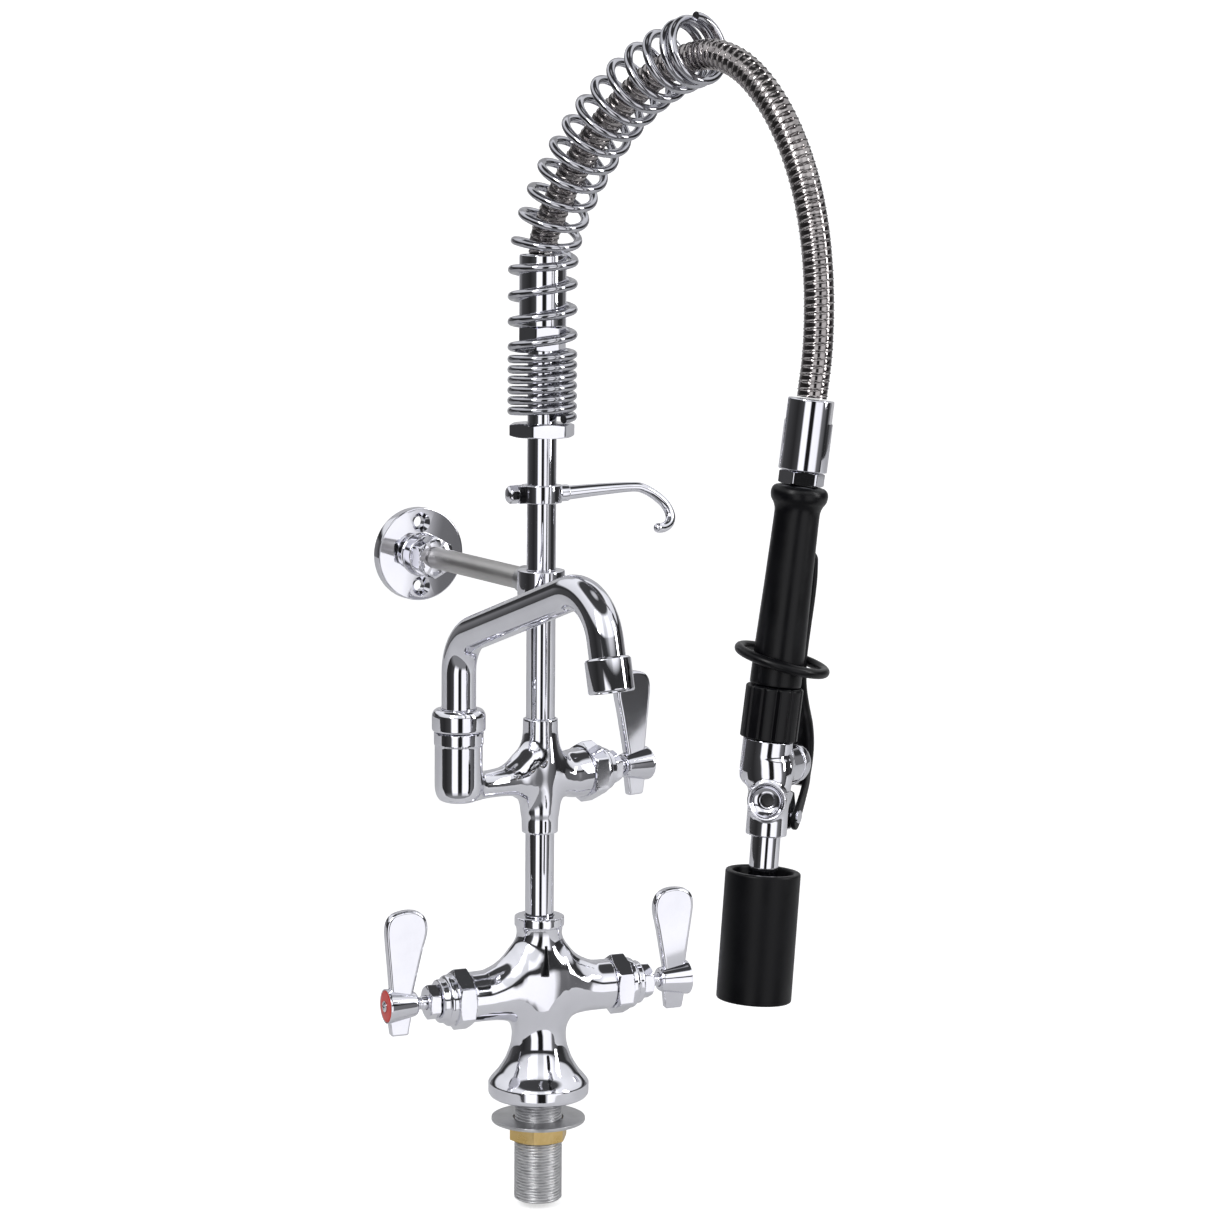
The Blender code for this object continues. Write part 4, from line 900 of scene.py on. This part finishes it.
show("spray_plate", cut(lathe([
    (0, -319.6), (12.5, -319.6), (14.2, -318.1), (14.2, -298), (8.3, -277.5), (8.3, -264.3), (0, -264.3)],
    0.5), *jets), "spray_face", CHROME, HEAD)
show("pivot_pin", placed(lathe([
    (0, -9), (3.6, -9), (3.6, -7.8), (2, -7.8), (2, 7.8), (3.6, 7.8), (3.6, 9), (0, 9)], 0.3, 48),
    along((0, 1, 0), (PIVOT[0], 0, PIVOT[1]))), "lever_pin", CHROME, HEAD)

LEVER_LINE = ((39.4, -213.4), (41.8, -206), (43.4, -198), (42.8, -189), (38.8, -179), (31, -168),
              (24.4, -156), (22.0, -142), (24.2, -126), (27.2, -110), (28.4, -98), (27.4, -88), (25.6, -81))


def lever_section(k, n, sides=28):
    """A rounded bar, flatter on the grip's side, that narrows into a rounded tip."""
    tip = max(0.0, (k / (n - 1) - 0.955) / 0.045)
    narrow = (1 - 0.3 * tip) * math.sqrt(max(0.03, 1 - tip ** 3))
    corners = []
    for s in range(sides):
        angle = 2 * math.pi * s / sides
        a, b = math.cos(angle), math.sin(angle)
        side = math.copysign(abs(a) ** 0.55, a) * 7.5
        up = math.copysign(abs(b) ** (0.75 if b > 0 else 0.5), b) * 2.25
        corners.append((side * narrow, up * (1 - 0.5 * tip)))
    return corners


bar = sweep(smooth_route([(x, 0, z) for x, z in LEVER_LINE], 140), lever_section)
show("squeeze_bar", bar, "spray_lever", MOULDED, HEAD)
CHEEK = ((21.8, -229), (22.4, -232), (24.2, -235.4), (27, -236.6), (30, -235.2), (32.6, -231), (41.6, -214),
         (42.6, -206.5), (41, -204), (38, -207), (34.5, -215), (28, -223.5))
for name, near in (("near", 4.8), ("far", -7.5)):
    cheek = placed(slab(smooth_route((*CHEEK, CHEEK[0]), 60)[:-1, :2], near, near + 2.7, 0.8), upright())
    show(f"lever_cheek_{name}", cheek, [], MOULDED, HEAD, body="squeeze_lever", slot="black_plastic")
loop = [(23.95 * math.cos(t), 23.95 * math.sin(t), 0)
        for t in np.linspace(0, 2 * math.pi, 120, endpoint=False)]
show("lock_ring", sweep(loop, round_section(2.75, 24), loop=True), "hold_ring", MOULDED, RING)

for name, node in frame["nodes"].items():
    if not node.hide_render:
        finish = SEAL if SLOT_OF[name] == "seal" else SLOT_FINISH[SLOT_OF[name]]
        node.data.materials.clear()
        node.data.materials.append(finish)

hose_path = [tuple(ARCH @ (Vector(p) * MM)) for p in (*hose_line[::12], hose_line[-1])]

# ---------------------------------------------------------------- studio

FLOOR_Z = -0.067
CAMERA_AT, LENS = (-0.72825, -1.77045, 0.5537), 97.86
LOOK, DIP, ROLL = (0.399, 0.917), 7.714, 0.47
AHEAD = Vector((*LOOK, 0)).normalized()
RIGHT = Vector((AHEAD.y, -AHEAD.x, 0))
FLOOR_GLOW, ROOM_STRENGTH = 0.62, 1.35
FLOOR_NEAR, FLOOR_FAR, FLOOR_SIDE, WALL_CURVE, WALL_TOP = -0.22, 2.2, 2.2, 1.5, 4.0
LIGHT_AIM, SENSOR = (0, -0.05, 0.28), 36


def floor():
    """A pale sheet under the faucet that curves up into a wall far behind it.

    Its glow is for camera rays only: the chrome mirrors it without.
    """
    made, shader, add, link = node_graph("floor_pale")
    cloud = add("ShaderNodeTexNoise", Scale=3.0, Detail=3.0)
    tone = ramp(add, ((0.3, grey(0.70)), (0.7, grey(0.76))))
    link(cloud.outputs["Fac"], tone.inputs["Fac"])
    link(tone.outputs["Color"], shader.inputs["Base Color"])
    shader.inputs["Roughness"].default_value = 0.8
    seen = add("ShaderNodeLightPath")
    shader.inputs["Emission Color"].default_value = (1, 1, 1, 1)
    glow = add("ShaderNodeMath", operation="MULTIPLY")
    glow.inputs[1].default_value = FLOOR_GLOW
    link(seen.outputs["Is Camera Ray"], glow.inputs[0])
    link(glow.outputs["Value"], shader.inputs["Emission Strength"])
    profile = [(FLOOR_NEAR, 0.0), (1.0, 0.0), (FLOOR_FAR, 0.0)]
    profile += [(FLOOR_FAR + WALL_CURVE * math.sin(t), WALL_CURVE - WALL_CURVE * math.cos(t))
                for t in np.linspace(0.1, math.pi / 2, 16)]
    profile += [(FLOOR_FAR + WALL_CURVE, WALL_TOP)]
    bm = bmesh.new()
    rows_made = []
    for out, up in profile:
        rows_made.append([bm.verts.new(AHEAD * out + RIGHT * side + Vector((0, 0, FLOOR_Z + up)))
                          for side in (-FLOOR_SIDE, FLOOR_SIDE)])
    for near, far in zip(rows_made, rows_made[1:]):
        bm.faces.new((near[0], near[1], far[1], far[0]))
    mesh = mesh_of(bm, "floor")
    mesh.shade_smooth()
    mesh.materials.append(made)
    sheet = bpy.data.objects.new("floor", mesh)
    bpy.context.scene.collection.objects.link(sheet)


def studio():
    """A room with dark and bright panels that the chrome mirrors; the camera itself sees it as white."""
    world = bpy.data.worlds.new("studio")
    bpy.context.scene.world = world
    world.use_nodes = True
    tree = world.node_tree
    tree.nodes.clear()

    def add(kind, **settings):
        node = tree.nodes.new(kind)
        for key, value in settings.items():
            if key in node.inputs:
                node.inputs[key].default_value = value
            else:
                setattr(node, key, value)
        return node

    def link(a, b):
        tree.links.new(a, b)

    place = add("ShaderNodeTexCoord")
    parts = []
    for direction in (RIGHT, -AHEAD, Vector((0, 0, 1))):
        dot = add("ShaderNodeVectorMath", operation="DOT_PRODUCT")
        link(place.outputs["Generated"], dot.inputs[0])
        dot.inputs[1].default_value = direction
        parts.append(dot.outputs["Value"])
    bearing = add("ShaderNodeMath", operation="ARCTAN2")
    link(parts[0], bearing.inputs[0])
    link(parts[1], bearing.inputs[1])
    share = add("ShaderNodeMapRange")
    share.inputs["From Min"].default_value, share.inputs["From Max"].default_value = -math.pi, math.pi
    link(bearing.outputs["Value"], share.inputs["Value"])
    panels = ramp(add, [((a + 180) / 360, (v, v, v * 1.02)) for a, v in PANELS])
    link(share.outputs["Result"], panels.inputs["Fac"])
    lift = add("ShaderNodeMath", operation="ARCSINE")
    link(parts[2], lift.inputs[0])
    level = add("ShaderNodeMapRange")
    level.inputs["From Min"].default_value, level.inputs["From Max"].default_value = -math.pi / 2, math.pi / 2
    link(lift.outputs["Value"], level.inputs["Value"])
    share_of_panels = ramp(add, [((a + 90) / 180, grey(v)) for a, v, _ in BANDS])
    plain = ramp(add, [((a + 90) / 180, (v * 0.97, v * 0.98, v)) for a, _, v in BANDS])
    link(level.outputs["Result"], share_of_panels.inputs["Fac"])
    link(level.outputs["Result"], plain.inputs["Fac"])
    dimmed = add("ShaderNodeMix", data_type="RGBA", blend_type="MULTIPLY")
    dimmed.inputs[0].default_value = 1.0
    link(panels.outputs["Color"], dimmed.inputs[6])
    link(share_of_panels.outputs["Color"], dimmed.inputs[7])
    total = add("ShaderNodeMix", data_type="RGBA", blend_type="ADD")
    total.inputs[0].default_value = 1.0
    link(dimmed.outputs[2], total.inputs[6])
    link(plain.outputs["Color"], total.inputs[7])
    room = add("ShaderNodeBackground", Strength=ROOM_STRENGTH)
    link(total.outputs[2], room.inputs["Color"])
    behind = add("ShaderNodeBackground", Color=(1, 1, 1, 1), Strength=1.0)
    seen = add("ShaderNodeLightPath")
    pick = add("ShaderNodeMixShader")
    link(seen.outputs["Is Camera Ray"], pick.inputs[0])
    link(room.outputs["Background"], pick.inputs[1])
    link(behind.outputs["Background"], pick.inputs[2])
    out = add("ShaderNodeOutputWorld")
    link(pick.outputs["Shader"], out.inputs["Surface"])


# bearing from the camera's side of the room (degrees, to the right) and the panels' brightness there
PANELS = ((-180, 0.16), (-128, 0.14), (-116, 0.05), (-62, 0.02), (-32, 0.05), (-26, 1.0), (-4, 1.0),
          (1, 0.01), (17, 0.01), (23, 0.95), (52, 0.9), (60, 0.14), (78, 0.08), (86, 0.02), (110, 0.03),
          (124, 0.15), (180, 0.16))
# height above the horizon (degrees), how much the panels count there, and the plain light added
BANDS = ((-90, 0.0, 0.20), (-34, 0.0, 0.20), (-24, 1.0, 0.0), (9, 1.0, 0.0), (12, 0.0, 0.03), (17, 0.0, 0.03),
         (21, 0.40, 0.62), (50, 0.30, 0.78), (56, 0.0, 0.05), (78, 0.0, 0.04), (84, 0.0, 0.45),
         (90, 0.0, 0.5))


def softbox(name, at, size, power):
    light = bpy.data.lights.new(name, "AREA")
    light.shape, light.size, light.size_y, light.energy = "RECTANGLE", *size, power
    lamp = bpy.data.objects.new(name, light)
    lamp.location = at
    lamp.rotation_euler = (Vector(LIGHT_AIM) - Vector(at)).to_track_quat("-Z", "Y").to_euler()
    bpy.context.scene.collection.objects.link(lamp)


floor()
studio()
softbox("key", (-1.6, -1.2, 1.5), (0.5, 1.2), 18)
softbox("fill", (1.5, -1.3, 0.9), (0.35, 1.3), 12)
bpy.context.scene.view_settings.view_transform = "Standard"

dip = math.radians(DIP)
forward = AHEAD * math.cos(dip) - Vector((0, 0, math.sin(dip)))
basis = Matrix((RIGHT, RIGHT.cross(forward), -forward)).transposed().to_4x4()
camera = bpy.data.objects.new("camera", bpy.data.cameras.new("camera"))
camera.matrix_world = Matrix.Translation(CAMERA_AT) @ basis @ Matrix.Rotation(math.radians(ROLL), 4, "Z")
camera.data.lens, camera.data.sensor_width = LENS, SENSOR
bpy.context.scene.collection.objects.link(camera)
bpy.context.scene.camera = camera
